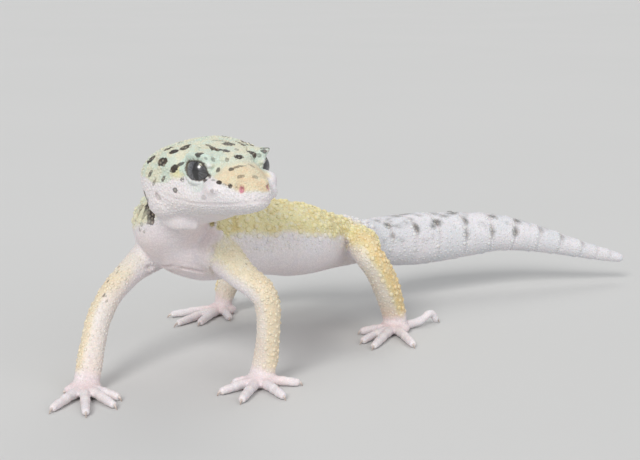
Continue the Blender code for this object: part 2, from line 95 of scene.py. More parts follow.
ARM_LEFT = [
    ((8.0, -25.0, 26.5), 4.4, 4.4),
    ((14.0, -27.6, 25.4), 3.9, 4.1),
    ((20.5, -29.6, 22.8), 3.1, 3.3),
    ((25.3, -29.6, 20.2), 2.85, 2.95),
    ((26.5, -29.0, 17.0), 2.65, 2.7),
    ((26.1, -28.4, 11.0), 2.55, 2.4),
    ((25.1, -28.2, 5.6), 2.75, 1.95),
    ((24.6, -28.8, 2.6), 2.9, 1.6),
    ((24.5, -29.4, 1.1), 2.5, 1.5),
]
ARM_RIGHT = [
    ((1.5, -25.0, 26.5), 4.6, 4.6),
    ((-3.4, -29.0, 25.2), 4.1, 4.2),
    ((-5.0, -35.8, 21.6), 3.0, 3.2),
    ((-5.0, -42.0, 17.6), 2.65, 2.8),
    ((-4.4, -46.0, 14.0), 2.65, 2.6),
    ((-3.2, -49.3, 9.2), 2.7, 2.4),
    ((-2.0, -51.7, 5.2), 2.8, 1.95),
    ((-1.4, -53.2, 2.6), 2.9, 1.6),
    ((-1.1, -54.0, 1.1), 2.5, 1.5),
]
LEG_LEFT = [
    ((5.0, 27.5, 19.4), 5.0, 5.0),
    ((12.0, 24.2, 19.8), 4.7, 4.8),
    ((18.0, 17.8, 20.9), 3.8, 4.0),
    ((21.5, 13.9, 20.6), 3.3, 3.4),
    ((23.1, 16.0, 17.0), 3.25, 3.4),
    ((23.4, 19.6, 11.6), 3.2, 3.2),
    ((22.9, 22.8, 6.6), 3.0, 2.6),
    ((23.0, 24.0, 3.2), 3.0, 1.9),
    ((23.1, 24.0, 1.3), 2.6, 1.7),
]
LEG_RIGHT = [
    ((6.0, 27.5, 19.4), 5.0, 5.0),
    ((-0.2, 24.4, 20.0), 4.8, 4.8),
    ((-7.4, 18.8, 21.8), 3.9, 4.1),
    ((-12.6, 14.8, 21.4), 3.4, 3.6),
    ((-15.0, 14.2, 17.4), 3.35, 3.5),
    ((-17.8, 14.6, 11.8), 3.25, 3.2),
    ((-20.6, 14.6, 6.6), 3.0, 2.6),
    ((-21.6, 14.4, 3.2), 3.0, 1.9),
    ((-21.9, 14.2, 1.3), 2.6, 1.7),
]
LIMBS = {
    "arm_left": (ARM_LEFT, (0.3, -1.0, 0.2)),
    "arm_right": (ARM_RIGHT, (0.8, -0.6, 0.3)),
    "leg_left": (LEG_LEFT, (0.5, -1.0, 0.1)),
    "leg_right": (LEG_RIGHT, (-0.4, -1.0, 0.1)),
}
SHOULDERS = [
    ((-2.6, -30.8, 29.2), (4.4, 4.4, 5.4)),
    ((12.6, -29.4, 27.6), (4.2, 4.2, 4.6)),
]
HANDS = {
    "hand_left": ((24.5, -29.6), -70.0, 3.3, 3.7,
                  [(19.9, -33.0), (22.0, -40.0), (29.5, -41.9), (35.2, -34.5), (31.8, -24.3)]),
    "hand_right": ((-1.0, -54.3), -60.0, 3.3, 3.7,
                   [(9.0, -54.0), (12.1, -58.6), (10.8, -65.7), (3.2, -68.1), (-3.6, -57.4)]),
    "foot_left": ((23.2, 23.4), -66.0, 3.8, 3.8,
                  [(17.7, 16.3), (23.1, 9.2), (28.2, 6.6), (35.1, 13.7), (27.2, 37.4, 2.0)]),
    "foot_right": ((-21.8, 13.8), -98.0, 3.8, 3.8,
                   [(-14.4, 8.3), (-17.6, 0.0), (-21.8, -3.9), (-29.4, 2.2), (-29.9, 26.6, 1.4)]),
}
PALM_Z = 1.15
PALM_HALF_HEIGHT = 1.45
# share of the reach, height of the bone, radius: arched at the knuckles, down at the tip
DIGIT = [
    (0.00, 1.20, 1.12), (0.16, 1.20, 1.06), (0.30, 1.25, 1.10), (0.42, 1.25, 0.96), (0.52, 1.20, 1.06),
    (0.63, 1.08, 0.90), (0.72, 1.02, 0.98), (0.82, 0.92, 0.86), (0.88, 0.82, 0.82), (0.925, 0.72, 0.64),
]


# ------------------------------------------------------------------ curves and lofts


def catmull(values, t):
    values = np.asarray(values, float)
    last = len(values) - 1
    i = int(min(max(math.floor(t), 0), last - 1))
    f = t - i
    p1, p2 = values[i], values[i + 1]
    p0 = values[i - 1] if i > 0 else 2 * p1 - p2
    p3 = values[i + 2] if i + 2 <= last else 2 * p2 - p1
    return 0.5 * (2 * p1 + (p2 - p0) * f + (2 * p0 - 5 * p1 + 4 * p2 - p3) * f * f + (3 * p1 - p0 - 3 * p2 + p3) * f**3)


def resample(rows, step):
    """Rows of a smooth curve about step apart along their first three columns, and the parameter of each."""
    rows = np.asarray(rows, float)
    out, at = [], []
    for i in range(len(rows) - 1):
        n = max(2, int(math.ceil(np.linalg.norm(rows[i + 1, :3] - rows[i, :3]) / step)))
        out += [catmull(rows, i + k / n) for k in range(n)]
        at += [i + k / n for k in range(n)]
    out.append(rows[-1])
    at.append(len(rows) - 1.0)
    return np.array(out), np.array(at)


def superellipse(angle, power):
    c, s = math.cos(angle), math.sin(angle)
    return math.copysign(abs(c) ** (2 / power), c), math.copysign(abs(s) ** (2 / power), s)


def add_rings(bm, rings, poles=True):
    made = [[bm.verts.new(Vector(p)) for p in ring] for ring in rings]
    n = len(made[0])
    for a, b in zip(made, made[1:]):
        for j in range(n):
            k = (j + 1) % n
            bm.faces.new((a[j], a[k], b[k], b[j]))
    if poles:
        for ring, turn in ((made[0], True), (made[-1], False)):
            pole = bm.verts.new(sum((v.co for v in ring), Vector()) / n)
            for j in range(n):
                k = (j + 1) % n
                bm.faces.new((pole, ring[k], ring[j]) if turn else (pole, ring[j], ring[k]))
    return made


def frames(centres, up):
    """Direction along, to the side and to the top at each centre of a curve."""
    ahead = np.gradient(centres, axis=0)
    ahead /= np.linalg.norm(ahead, axis=1, keepdims=True)
    side = np.cross(ahead, np.asarray(up, float))
    side /= np.linalg.norm(side, axis=1, keepdims=True)
    return ahead, side, np.cross(side, ahead)


def tube(bm, rows, up=(0, 0, 1), step=1.0, points=24):
    """Loft along rows of x, y, z, half width, height above, depth below, squareness."""
    rows, _ = resample(rows, step)
    _, side, top = frames(rows[:, :3], up)
    rings = []
    for i, row in enumerate(rows):
        ring = []
        for k in range(points):
            c, s = superellipse(2 * math.pi * k / points, row[6])
            height = row[4] if s > 0 else row[5]
            ring.append(row[:3] - side[i] * (c * row[3]) + top[i] * (s * height))
        rings.append(ring)
    add_rings(bm, rings)


def head_matrix():
    yaw, pitch = math.radians(HEAD_YAW), math.radians(HEAD_PITCH)
    return Matrix.Translation(Vector(HEAD_AT)) @ Matrix.Rotation(yaw, 4, "Z") @ Matrix.Rotation(-pitch, 4, "Y")


HEAD_M = head_matrix()
HEAD_TURN = np.array(HEAD_M.to_3x3())


def head_point(f, l, u):
    return np.array(HEAD_M @ Vector((f, l, u)))


def to_head(points):
    return (np.asarray(points) - np.array(HEAD_AT)) @ HEAD_TURN


def eye_turn(side):
    """Eye axes to world axes: along the eye, across it, up."""
    return np.array(HEAD_M.to_3x3() @ Matrix.Rotation(math.radians(EYE_YAW) * side, 3, "Z")
                    @ Matrix.Rotation(-math.radians(EYE_TILT), 3, "Y"))


def eye_centre(side):
    return head_point(EYE_AT[0], EYE_AT[1] * side, EYE_AT[2])


def ball(bm, at, size, axes=None, segments=32):
    matrix = Matrix.Translation(Vector(at))
    if axes is not None:
        matrix = matrix @ axes.to_4x4()
    matrix = matrix @ Matrix.Diagonal((size[0], size[1], size[2], 1))
    bmesh.ops.create_uvsphere(bm, u_segments=segments, v_segments=segments // 2 + 1, radius=1.0, matrix=matrix)


def rotation(axis, degrees):
    return Matrix.Rotation(math.radians(degrees), 3, axis)


# ------------------------------------------------------------------ the skin's base form


def build_torso(bm):
    tube(bm, [(*at, w, top, low, sq) for _, at, w, top, low, sq in SPINE], step=0.8, points=64)


def build_head(bm):
    rows, _ = resample([(f, 0, 0, w, top, mid, low, a, b) for f, w, top, mid, low, a, b in HEAD], 0.5)
    rings = []
    for f, _, _, w, top, mid, low, up_power, low_power in rows:
        ring = []
        for k in range(72):
            angle = 2 * math.pi * k / 72
            c, s = superellipse(angle, up_power if math.sin(angle) > 0 else low_power)
            ring.append(head_point(f, SNOUT_BEND * min(max((f - 3.0) / 8.0, 0.0), 1.0) - c * w,
                                   mid + s * (top - mid if s > 0 else mid - low)))
        rings.append(ring)
    add_rings(bm, rings)
    turn = HEAD_M.to_3x3()
    ball(bm, head_point(-0.8, 0, 3.5), (6.2, 6.4, 1.3), turn @ rotation("Y", 12))
    # loose throat skin, bunched on the side away from the turn of the head
    ball(bm, head_point(-11.2, -6.9, -9.2), (5.2, 1.9, 3.2), turn @ rotation("Z", 24) @ rotation("Y", 10))
    ball(bm, head_point(-8.2, -4.7, -10.5), (2.0, 1.1, 1.8), turn @ rotation("Z", 24) @ rotation("Y", 40))
    # swelling in front of each eye, below it
    ball(bm, head_point(3.9, 5.9, -2.1), (3.0, 1.9, 2.0), turn)
    ball(bm, head_point(3.8, 5.8, -4.1), (3.3, 2.0, 2.3), turn)
    ball(bm, head_point(4.4, -5.8, -3.0), (3.2, 1.6, 1.3), turn)
    for side in (1, -1):
        # brow over the eye with its outer corner, temple and jaw muscle behind it, nostril bump
        ball(bm, head_point(-0.4, 5.5 * side, 2.4), (5.4, 3.1, 1.4), turn @ rotation("Y", 12))
        ball(bm, head_point(1.6, 6.9 * side, 2.3), (2.6, 1.8, 0.8), turn @ rotation("Z", 14 * side))
        ball(bm, head_point(-8.8, 7.2 * side, 0.6), (5.6, 3.8, 3.8), turn)
        ball(bm, head_point(-11.6, 8.6 * side, -5.6), (5.0, 3.3, 4.4), turn)
        ball(bm, head_point(10.2, 2.1 * side + SNOUT_BEND, -2.2), (1.6, 1.2, 1.1), turn)
        # the ball of skin that the lids are shaped from
        ball(bm, eye_centre(side), (EYE_R + 0.5,) * 3)


def build_limb(bm, joints, up):
    tube(bm, [(*at, a, b, b, 2.0) for at, a, b in joints], up=up, step=0.8, points=32)


def digit_rows(centre, tip):
    reach = np.array([tip[0] - centre[0], tip[1] - centre[1]])
    length = np.linalg.norm(reach) - 0.8
    along = reach / np.linalg.norm(reach)
    start = np.array(centre) + along * 0.8
    arch = tip[2] if len(tip) > 2 else 0.0
    return [(*(start + along * (length * share)), z + arch * math.sin(math.pi * min(share / 0.925, 1.0) ** 4.0) ** 1.6, r, r, r, 2.0)
            for share, z, r in DIGIT]


def build_hand(bm, centre, heading, half_length, half_width, tips):
    ball(bm, (*centre, PALM_Z), (half_length, half_width, PALM_HALF_HEIGHT), rotation("Z", heading))
    for tip in tips:
        tube(bm, digit_rows(centre, tip), step=0.35, points=18)


def points_of(mesh):
    co = np.empty(len(mesh.vertices) * 3)
    mesh.vertices.foreach_get("co", co)
    return co.reshape(-1, 3)


def normals_of(mesh):
    no = np.empty(len(mesh.vertices) * 3)
    mesh.vertices.foreach_get("normal", no)
    return no.reshape(-1, 3)


def set_points(mesh, co):
    mesh.vertices.foreach_set("co", np.ascontiguousarray(co).ravel())
    mesh.update()


def edges_of(mesh):
    e = np.empty(len(mesh.edges) * 2, int)
    mesh.edges.foreach_get("vertices", e)
    return e.reshape(-1, 2)


def relax(co, edges, weight, rounds, factor=0.5):
    """Laplacian smoothing in which each point moves by its own weight."""
    n = len(co)
    degree = np.bincount(edges.ravel(), minlength=n).astype(float)
    degree[degree == 0] = 1
    for _ in range(rounds):
        mean = np.empty_like(co)
        for k in range(3):
            mean[:, k] = (np.bincount(edges[:, 0], co[edges[:, 1], k], n)
                          + np.bincount(edges[:, 1], co[edges[:, 0], k], n)) / degree
        co = co + (mean - co) * (factor * weight)[:, None]
    return co


def evaluated(obj, name):
    bpy.context.view_layer.update()
    graph = bpy.context.evaluated_depsgraph_get()
    mesh = bpy.data.meshes.new_from_object(obj.evaluated_get(graph), depsgraph=graph).copy()
    mesh.name = name
    return mesh


def new_object(name, mesh):
    obj = bpy.data.objects.new(name, mesh)
    bpy.context.scene.collection.objects.link(obj)
    return obj


def fused_skin():
    """All the lofts fused into one closed mesh, in model millimetres."""
    bm = bmesh.new()
    build_torso(bm)
    build_head(bm)
    for at, size in SHOULDERS:
        ball(bm, at, size)
    for joints, up in LIMBS.values():
        build_limb(bm, joints, up)
    for spec in HANDS.values():
        build_hand(bm, *spec)
    bmesh.ops.recalc_face_normals(bm, faces=bm.faces)
    mesh = bpy.data.meshes.new("skin_source")
    bm.to_mesh(mesh)
    bm.free()
    obj = new_object("skin_source", mesh)
    fuse = obj.modifiers.new("fuse", "REMESH")
    fuse.mode = "VOXEL"
    fuse.voxel_size = VOXEL
    mesh = evaluated(obj, "skin")
    bpy.data.objects.remove(obj)
    return mesh


# ------------------------------------------------------------------ where a point is on the animal


def ramp(x, low, high):
    """Smooth step from 0 at low to 1 at high."""
    t = np.clip((np.asarray(x, float) - low) / (high - low), 0, 1)
    return t * t * (3 - 2 * t)


def nearest(points, samples, chunk=20000):
    found = np.empty(len(points), int)
    square = (samples**2).sum(1)
    for i in range(0, len(points), chunk):
        part = points[i:i + chunk]
        found[i:i + chunk] = np.argmin(square[None] - 2 * part @ samples.T, axis=1)
    return found


class Line:
    """Samples along a loft, with their frames and sizes."""

    def __init__(self, rows, up=(0, 0, 1), step=0.7):
        rows, self.at = resample(rows, step)
        self.c = rows[:, :3]
        self.size = rows[:, 3:6]
        self.ahead, self.side, self.top = frames(self.c, up)
        self.arc = np.concatenate([[0], np.cumsum(np.linalg.norm(np.diff(self.c, axis=0), axis=1))])

    def place(self, points):
        """Arc length, station, share of the radius, angle round (0 at the side, 90 degrees on top)."""
        i = nearest(points, self.c)
        d = points - self.c[i]
        along = (d * self.ahead[i]).sum(1)
        arc = self.arc[i] + np.clip(along, -0.8, 0.8)
        beyond = np.maximum(np.abs(along) - 0.8, 0)
        x, y = (d * self.side[i]).sum(1), (d * self.top[i]).sum(1)
        w, high, low = self.size[i].T
        h = np.where(y > 0, high, low)
        share = np.sqrt((x / w) ** 2 + (y / h) ** 2) + beyond / w
        station = np.interp(arc, self.arc, self.at)
        return arc, station, share, np.arctan2(y / h, x / w)

    def mark(self, station):
        """Arc length at a station."""
        return float(np.interp(station, self.at, self.arc))


STATIONS = [s[0] for s in SPINE]
TORSO = Line([(*at, w, top, low, sq) for _, at, w, top, low, sq in SPINE])
LIMB_LINES = {name: Line([(*at, a, b, b, 2.0) for at, a, b in joints], up) for name, (joints, up) in LIMBS.items()}
HEAD_ROWS = resample([(f, 0, 0, w, top, mid, low) for f, w, top, mid, low, _, _ in HEAD], 0.5)[0]


def head_share(h):
    f, l, u = h.T
    w, top, mid, low = (np.interp(f, HEAD_ROWS[:, 0], HEAD_ROWS[:, k]) for k in (3, 4, 5, 6))
    tall = np.where(u > mid, top - mid, mid - low)
    over = np.maximum(f - HEAD_ROWS[-1, 0], 0) + np.maximum(HEAD_ROWS[0, 0] - f, 0)
    return np.sqrt((l / w) ** 2 + ((u - mid) / tall) ** 2) + over / 3


def survey(points):
    """Place of each point on torso, head, limbs and hands, with weights that add up to 1."""
    s = {"p": points, "h": to_head(points)}
    s["torso"] = TORSO.place(points)
    shares = [("torso", s["torso"][2]), ("head", head_share(s["h"]))]
    for name, line in LIMB_LINES.items():
        s[name] = line.place(points)
        shares.append((name, s[name][2] + 0.0))
    for name, (centre, heading, a, b, tips) in HANDS.items():
        d = points - np.array([*centre, PALM_Z])
        best = np.sqrt((d[:, 0] ** 2 + d[:, 1] ** 2) / 13.0 + (d[:, 2] / 1.5) ** 2)
        for tip in tips:
            rows = np.array(digit_rows(centre, tip))
            a0, b0 = rows[0, :3], rows[-1, :3]
            t = np.clip(((points - a0) @ (b0 - a0)) / ((b0 - a0) @ (b0 - a0)), 0, 1)
            gap = np.linalg.norm((points - a0 - t[:, None] * (b0 - a0)) * (1, 1, 0.7), axis=1)
            best = np.minimum(best, gap / 1.1)
        s[name] = best
        shares.append((name, best))
    table = np.stack([v for _, v in shares])
    low = table.min(0)
    weight = np.exp(-14 * (table - low))
    weight /= weight.sum(0)
    s["w"] = {name: weight[k] for k, (name, _) in enumerate(shares)}
    s["region"] = np.argmin(table, 0)
    s["names"] = [n for n, _ in shares]
    return s


def polyline_gap(points, line):
    """Distance to a polyline and the share of its length at the nearest place."""
    line = np.asarray(line, float)
    best, where = np.full(len(points), 1e9), np.zeros(len(points))
    lengths = np.linalg.norm(np.diff(line, axis=0), axis=1)
    total, run = lengths.sum(), 0.0
    for a, b, length in zip(line, line[1:], lengths):
        t = np.clip(((points - a) @ (b - a)) / max(length**2, 1e-9), 0, 1)
        gap = np.linalg.norm(points - a - t[:, None] * (b - a), axis=1)
        where = np.where(gap < best, (run + t * length) / total, where)
        best = np.minimum(best, gap)
        run += length
    return best, where


def smooth_noise(points, cell, seed):
    """Smooth value noise from -1 to 1 with cells of the given size."""
    q = points / cell + 100.0
    base = np.floor(q).astype(np.int64)
    f = q - base
    f = f * f * (3 - 2 * f)
    total = np.zeros(len(points))
    for dx in (0, 1):
        for dy in (0, 1):
            for dz in (0, 1):
                n = (base[:, 0] + dx) * 73856093 ^ (base[:, 1] + dy) * 19349663 ^ (base[:, 2] + dz) * 83492791
                n = (n ^ (seed * 2654435761)) & 0x7FFFFFFF
                n = (n * 1103515245 + 12345) & 0x7FFFFFFF
                n = (n >> 8) & 0xFFFF
                wx = f[:, 0] if dx else 1 - f[:, 0]
                wy = f[:, 1] if dy else 1 - f[:, 1]
                wz = f[:, 2] if dz else 1 - f[:, 2]
                total += wx * wy * wz * (n / 32767.5 - 1)
    return total


# ------------------------------------------------------------------ the eyes' openings, the mouth and the folds

# Edge of the opening between the lids, on the eyeball: forward and up from the eye's axis, in mm
OPENING = [
    (-2.55, 1.05), (-2.05, 1.42), (-1.35, 1.55), (-0.55, 1.58), (0.30, 1.55), (1.05, 1.48), (1.60, 1.28), (2.08, 0.88),
    (2.40, 0.30), (2.60, -0.35), (2.75, -0.95), (2.80, -1.50), (2.42, -1.66), (2.02, -1.82), (1.55, -1.96), (1.02, -2.04),
    (0.45, -2.04), (-0.15, -1.94), (-0.72, -1.72), (-1.20, -1.40), (-1.58, -0.96), (-1.90, -0.40), (-2.20, 0.20),
    (-2.45, 0.65),
]
# Mouth line in head axes: forward, up
MOUTH = [(-8.0, -4.3), (-6.5, -4.75), (-4.8, -5.15), (-3.2, -5.45), (-1.0, -5.78), (1.0, -5.92), (3.8, -5.88), (6.4, -5.78),
         (8.7, -5.62), (10.4, -5.45), (11.8, -5.27), (12.7, -5.1)]
# Lower edge of the coloured crown in head axes: forward, up
CROWN_EDGE = [(-21.0, -1.0), (-16.0, -1.0), (-12.0, -1.7), (-9.2, -2.7), (-6.6, -2.3), (-4.3, -1.2), (-2.1, -0.8), (2.0, -1.0),
              (5.7, -1.2), (7.8, -2.1), (10.2, -2.9), (11.9, -3.4), (12.8, -3.4)]
EAR_AT = (-9.0, 11.3, -5.1)
NOSTRIL_AT = (11.3, 2.65, -2.8)


def polygon_gap(x, y, corners):
    """Signed distance to a closed outline: positive outside."""
    corners = np.asarray(corners, float)
    gap = np.full(len(x), 1e9)
    inside = np.zeros(len(x), bool)
    for (ax, ay), (bx, by) in zip(corners, np.roll(corners, -1, axis=0)):
        ex, ey = bx - ax, by - ay
        t = np.clip(((x - ax) * ex + (y - ay) * ey) / (ex * ex + ey * ey), 0, 1)
        gap = np.minimum(gap, np.hypot(x - ax - t * ex, y - ay - t * ey))
        cross = ((ay > y) != (by > y)) & (x < (bx - ax) * (y - ay) / np.where(by == ay, 1e-9, by - ay) + ax)
        inside ^= cross
    return np.where(inside, -gap, gap)


def eye_place(points, side):
    """Distance from the eye's centre, forward and up on the eyeball, along its axis, and gap to the opening."""
    q = (points - eye_centre(side)) @ eye_turn(side)
    r = np.linalg.norm(q, axis=1)
    on = q / np.maximum(r, 1e-6)[:, None] * (EYE_R + 0.15)
    gap = np.full(len(points), 9.0)
    near = (q[:, 0] > -0.6) & (r < EYE_R + 5.0)
    gap[near] = polygon_gap(-side * on[near, 1], on[near, 2], OPENING)
    return r, -side * on[:, 1], on[:, 2], q[:, 0], gap


def shape_eyes(co):
    for side in (1, -1):
        r, fw, up, axis, gap = eye_place(co, side)
        centre = eye_centre(side)
        out = (co - centre) / r[:, None]
        upper = ramp(up - 0.25 * fw, -0.6, 0.9)
        hood = np.exp(-((up - 1.85) / 0.5) ** 2) * np.exp(-(np.abs(fw - 0.75) / 1.75) ** 2.4)
        # a rounded lid margin, thicker above, then a shallow furrow round the lid
        lift = EYE_R + 0.10 + (0.36 + 0.30 * upper) * ramp(gap, -0.02, 0.45)
        lift -= 0.16 * (1 - hood) * np.exp(-((gap - 1.45) / 0.32) ** 2)
        lift += 0.16 * upper * np.exp(-((gap - 0.85) / 0.5) ** 2) + (1.10 if side > 0 else 0.80) * hood * ramp(gap, 0.0, 0.6)
        target = np.where(gap < 0, EYE_R - 0.55, lift)
        weight = np.where(gap < 0, 1.0, 1 - ramp(gap, 0.9 + 0.3 * upper, 2.3))
        weight *= (axis > -0.6) * (1 - ramp(r, EYE_R + 1.3, EYE_R + 3.0))
        co = co + out * ((target - r) * weight)[:, None]
    return co


def groove(gap, depth, width, lips=0.3):
    """Furrow profile with a raised lip on each side."""
    return -depth * np.exp(-(gap / width) ** 2) + depth * lips * np.exp(-((gap - 1.9 * width) / (0.9 * width)) ** 2)


# Folds of loose skin: points, depth, width
FOLDS = [
    # where the left thigh meets the belly, and its mirror
    ([(15.2, 12.4, 24.6), (15.9, 13.6, 22.4), (16.4, 15.6, 20.0), (16.4, 17.6, 17.6)], 0.75, 0.55),
    ([(-1.6, 13.0, 24.4), (-2.4, 14.2, 22.0), (-2.8, 16.2, 19.4), (-2.6, 18.2, 17.2)], 0.7, 0.55),
    # under the left shoulder
    ([(13.0, -27.8, 32.6), (14.6, -31.0, 30.2), (15.0, -33.2, 27.2), (14.0, -33.8, 24.6)], 0.45, 0.5),
    # across the chest below the throat, running out from the right armpit
    ([(-2.2, -35.8, 25.0), (-1.4, -35.4, 24.2), (0.4, -34.6, 23.6), (2.8, -34.2, 23.6), (6.7, -35.0, 24.3)], 0.62, 0.42),
    ([(-1.9, -34.8, 22.9), (-0.6, -33.0, 22.3), (1.4, -32.8, 22.2), (4.6, -32.6, 22.2)], 0.66, 0.42),
    ([(-2.6, -34.7, 20.9), (-2.0, -32.2, 21.4), (-1.2, -30.6, 21.2), (0.6, -30.2, 20.8), (3.0, -29.8, 20.5)], 0.60, 0.42),
    ([(7.2, -34.4, 23.6), (8.8, -33.2, 23.4), (10.2, -31.4, 22.6), (11.4, -29.6, 22.0)], 0.55, 0.42),
    ([(14.0, -32.4, 24.6), (13.0, -30.4, 23.0), (12.0, -28.2, 21.8), (10.6, -26.4, 20.6)], 0.34, 0.42),
    # behind the left arm, on the flank
    ([(17.4, -20.6, 29.0), (18.2, -21.0, 26.0), (17.0, -21.6, 22.6)], 0.34, 0.55),
    ([(18.6, -17.0, 28.6), (19.2, -17.2, 25.6), (18.0, -17.6, 22.4)], 0.24, 0.6),
    ([(19.4, -13.0, 27.6), (19.8, -13.2, 24.8), (18.6, -13.4, 21.8)], 0.16, 0.7),
    # elbows and knees, on the inner bend
    ([(23.6, -31.6, 20.6), (23.2, -29.6, 18.8), (24.0, -27.2, 18.2)], 0.30, 0.4),
    ([(-2.6, -42.8, 15.0), (-3.4, -43.2, 13.8), (-5.6, -43.4, 13.2)], 0.30, 0.4),
    ([(21.6, 16.6, 19.4), (20.6, 18.2, 18.8), (21.4, 20.4, 18.6)], 0.35, 0.45),
]
# Furrows between the tail's whorls, at these distances from the tip in mm
WHORLS = [4.6, 8.7, 13.6, 20.4, 27.0, 34.5, 41.9, 50.4, 59.7, 68.4, 77.0]


def sculpt(co, no):
    """Folds, mouth, nostrils, ears and whorls, as moves along the normal."""
    s = survey(co)
    f, l, u = s["h"].T
    head = s["w"]["head"]
    push = np.zeros(len(co))
    # mouth: a fine furrow that follows the lips round the snout
    line_f, line_u = np.array(MOUTH).T
    gap = np.abs(u - np.interp(f, line_f, line_u))
    here = head * ramp(f, -7.6, -6.2) * ramp(-no @ HEAD_TURN[:, 2], -0.95, -0.6) * (np.abs(l) > -1)
    push += here * groove(gap, 0.10, 0.26, 0.15)
    # scales along both lips: shallow furrows across them
    along = np.arctan2(l, 2.0 + f * 0.35) * 9.0
    cell = np.abs((along / 1.25) % 1.0 - 0.5)
    band = np.exp(-((gap - 0.75) / 0.55) ** 2) * ramp(f, -5.0, -2.0)
    push -= head * band * 0.06 * ramp(cell, 0.40, 0.5)
    for side in (1, -1):
        # nostril
        d = s["h"] - np.array([NOSTRIL_AT[0], NOSTRIL_AT[1] * side + SNOUT_BEND, NOSTRIL_AT[2]])
        r = np.sqrt((d[:, 0] * 0.9) ** 2 + d[:, 1] ** 2 + (d[:, 2] * 0.75) ** 2)
        push += head * (-0.70 * np.exp(-(r / 0.40) ** 2) + 0.12 * np.exp(-((r - 0.95) / 0.4) ** 2))
        # ear: a slanted oval pit behind the corner of the mouth
        d = s["h"] - np.array([EAR_AT[0], EAR_AT[1] * side, EAR_AT[2]])
        x, z = d[:, 0] * 0.86 + d[:, 2] * 0.5, -d[:, 0] * 0.5 + d[:, 2] * 0.86
        r = np.sqrt((x / 0.62) ** 2 + (z / 1.25) ** 2 + (d[:, 1] / 2.5) ** 2)
        push += head * -0.42 * (1 - ramp(r, 0.30, 1.2))
    for line, depth, width in FOLDS:
        gap, where = polyline_gap(co, line)
        push += groove(gap, depth, width) * ramp(where, -0.02, 0.2) * ramp(1 - where, -0.02, 0.2)
    # whorls of the tail: each a little proud at its hind edge
    arc = s["torso"][0]
    for k, at in enumerate(WHORLS):
        d = arc - at
        size = np.interp(at, [0, 20, 50, 70], [0.12, 0.24, 0.22, 0.08])
        fade = s["w"]["torso"]
        push += fade * size * (-0.9 * np.exp(-(d / 0.42) ** 2) + 0.55 * np.exp(-((d - 1.0) / 0.7) ** 2))
    # gentle unevenness of living skin
    push += 0.07 * smooth_noise(co, 3.4, 5) * (1 - head) + 0.03 * smooth_noise(co, 1.7, 9)
    # the skin lies under its tubercles
    push -= 0.12 * (1 - s["w"]["head"]) * (1 - sum(s["w"][n] for n in HANDS))
    return co + no * push[:, None]


def subdivide_near(mesh, places, radius):
    bm = bmesh.new()
    bm.from_mesh(mesh)
    places = [Vector(p) for p in places]
    near = {v for v in bm.verts if any((v.co - p).length < r for p, r in zip(places, radius))}
    bmesh.ops.subdivide_edges(bm, edges=[e for e in bm.edges if e.verts[0] in near and e.verts[1] in near],
                              cuts=1, use_grid_fill=True)
    bmesh.ops.triangulate(bm, faces=[f for f in bm.faces if len(f.verts) > 4])
    bm.to_mesh(mesh)
    bm.free()


def build_skin():
    mesh = fused_skin()
    co, edges = points_of(mesh), edges_of(mesh)
    s = survey(co)
    # joins between limbs, trunk and neck settle more than the rest
    shares = np.sort(np.stack([s["torso"][2], head_share(s["h"])] + [s[n][2] for n in LIMBS]), axis=0)
    join = 1 - ramp(shares[1] - shares[0], 0.05, 0.6)
    hand = sum(s["w"][n] for n in HANDS)
    keep = 1 - 0.75 * s["w"]["head"] * ramp(s["h"][:, 0], -15, -11)
    co = relax(co, edges, np.full(len(co), 1.0) * (1 - 0.45 * hand), 5)
    co = relax(co, edges, np.clip(join * keep * (1 - hand), 0, 1), 26)
    # the brows and the skin round the eyes
    near = np.zeros(len(co))
    for side in (1, -1):
        gap = np.linalg.norm(co - head_point(1.6, 5.6 * side, 0.6), axis=1)
        near = np.maximum(near, 1 - ramp(gap, 5.0, 8.0))
    co = relax(co, edges, near, 14)
    # throat skin, then wrists and ankles
    near = 1 - ramp(np.linalg.norm((co - head_point(-10.6, -7.0, -9.4)) @ HEAD_TURN * (0.7, 1, 1), axis=1), 2.6, 4.8)
    co = relax(co, edges, near, 26)
    near = np.zeros(len(co))
    for joints, _ in LIMBS.values():
        gap = np.linalg.norm((co - np.array(joints[-2][0])) * (1, 1, 0.8), axis=1)
        near = np.maximum(near, 1 - ramp(gap, 2.6, 4.0))
    co = relax(co, edges, near, 24)
    set_points(mesh, co)
    places = [eye_centre(s) for s in (1, -1)]
    spots = [head_point(NOSTRIL_AT[0], NOSTRIL_AT[1] * s + SNOUT_BEND, NOSTRIL_AT[2]) for s in (1, -1)]
    spots += [head_point(EAR_AT[0], EAR_AT[1] * s, EAR_AT[2]) for s in (1, -1)]
    subdivide_near(mesh, places + spots, [5.6, 5.6, 1.6, 1.6, 2.2, 2.2])
    co = shape_eyes(points_of(mesh))
    set_points(mesh, co)
    co = sculpt(co, normals_of(mesh))
    co[:, 2] = np.maximum(co[:, 2], 0.0)
    set_points(mesh, co)
    return mesh


SKIN_TRIANGLES = 188000


def thinned(mesh):
    """The skin at its final triangle count, finest on the head and hands, in model millimetres."""
    obj = new_object("skin_full", mesh)
    s = survey(points_of(mesh))
    fine = s["w"]["head"] + sum(s["w"][n] for n in HANDS)
    level = np.clip(np.round((1 - 0.75 * fine) * 4), 1, 4).astype(int)
    group = obj.vertex_groups.new(name="thin")
    for k in range(1, 5):
        group.add(np.nonzero(level == k)[0].tolist(), k / 4, "REPLACE")
    triangles = sum(len(p.vertices) - 2 for p in mesh.polygons)
    cut = obj.modifiers.new("thin", "DECIMATE")
    cut.ratio = SKIN_TRIANGLES / triangles
    cut.vertex_group = group.name
    cut.vertex_group_factor = 1.0
    made = evaluated(obj, "gecko_skin")
    bpy.data.objects.remove(obj)
    return made


# ------------------------------------------------------------------ markings

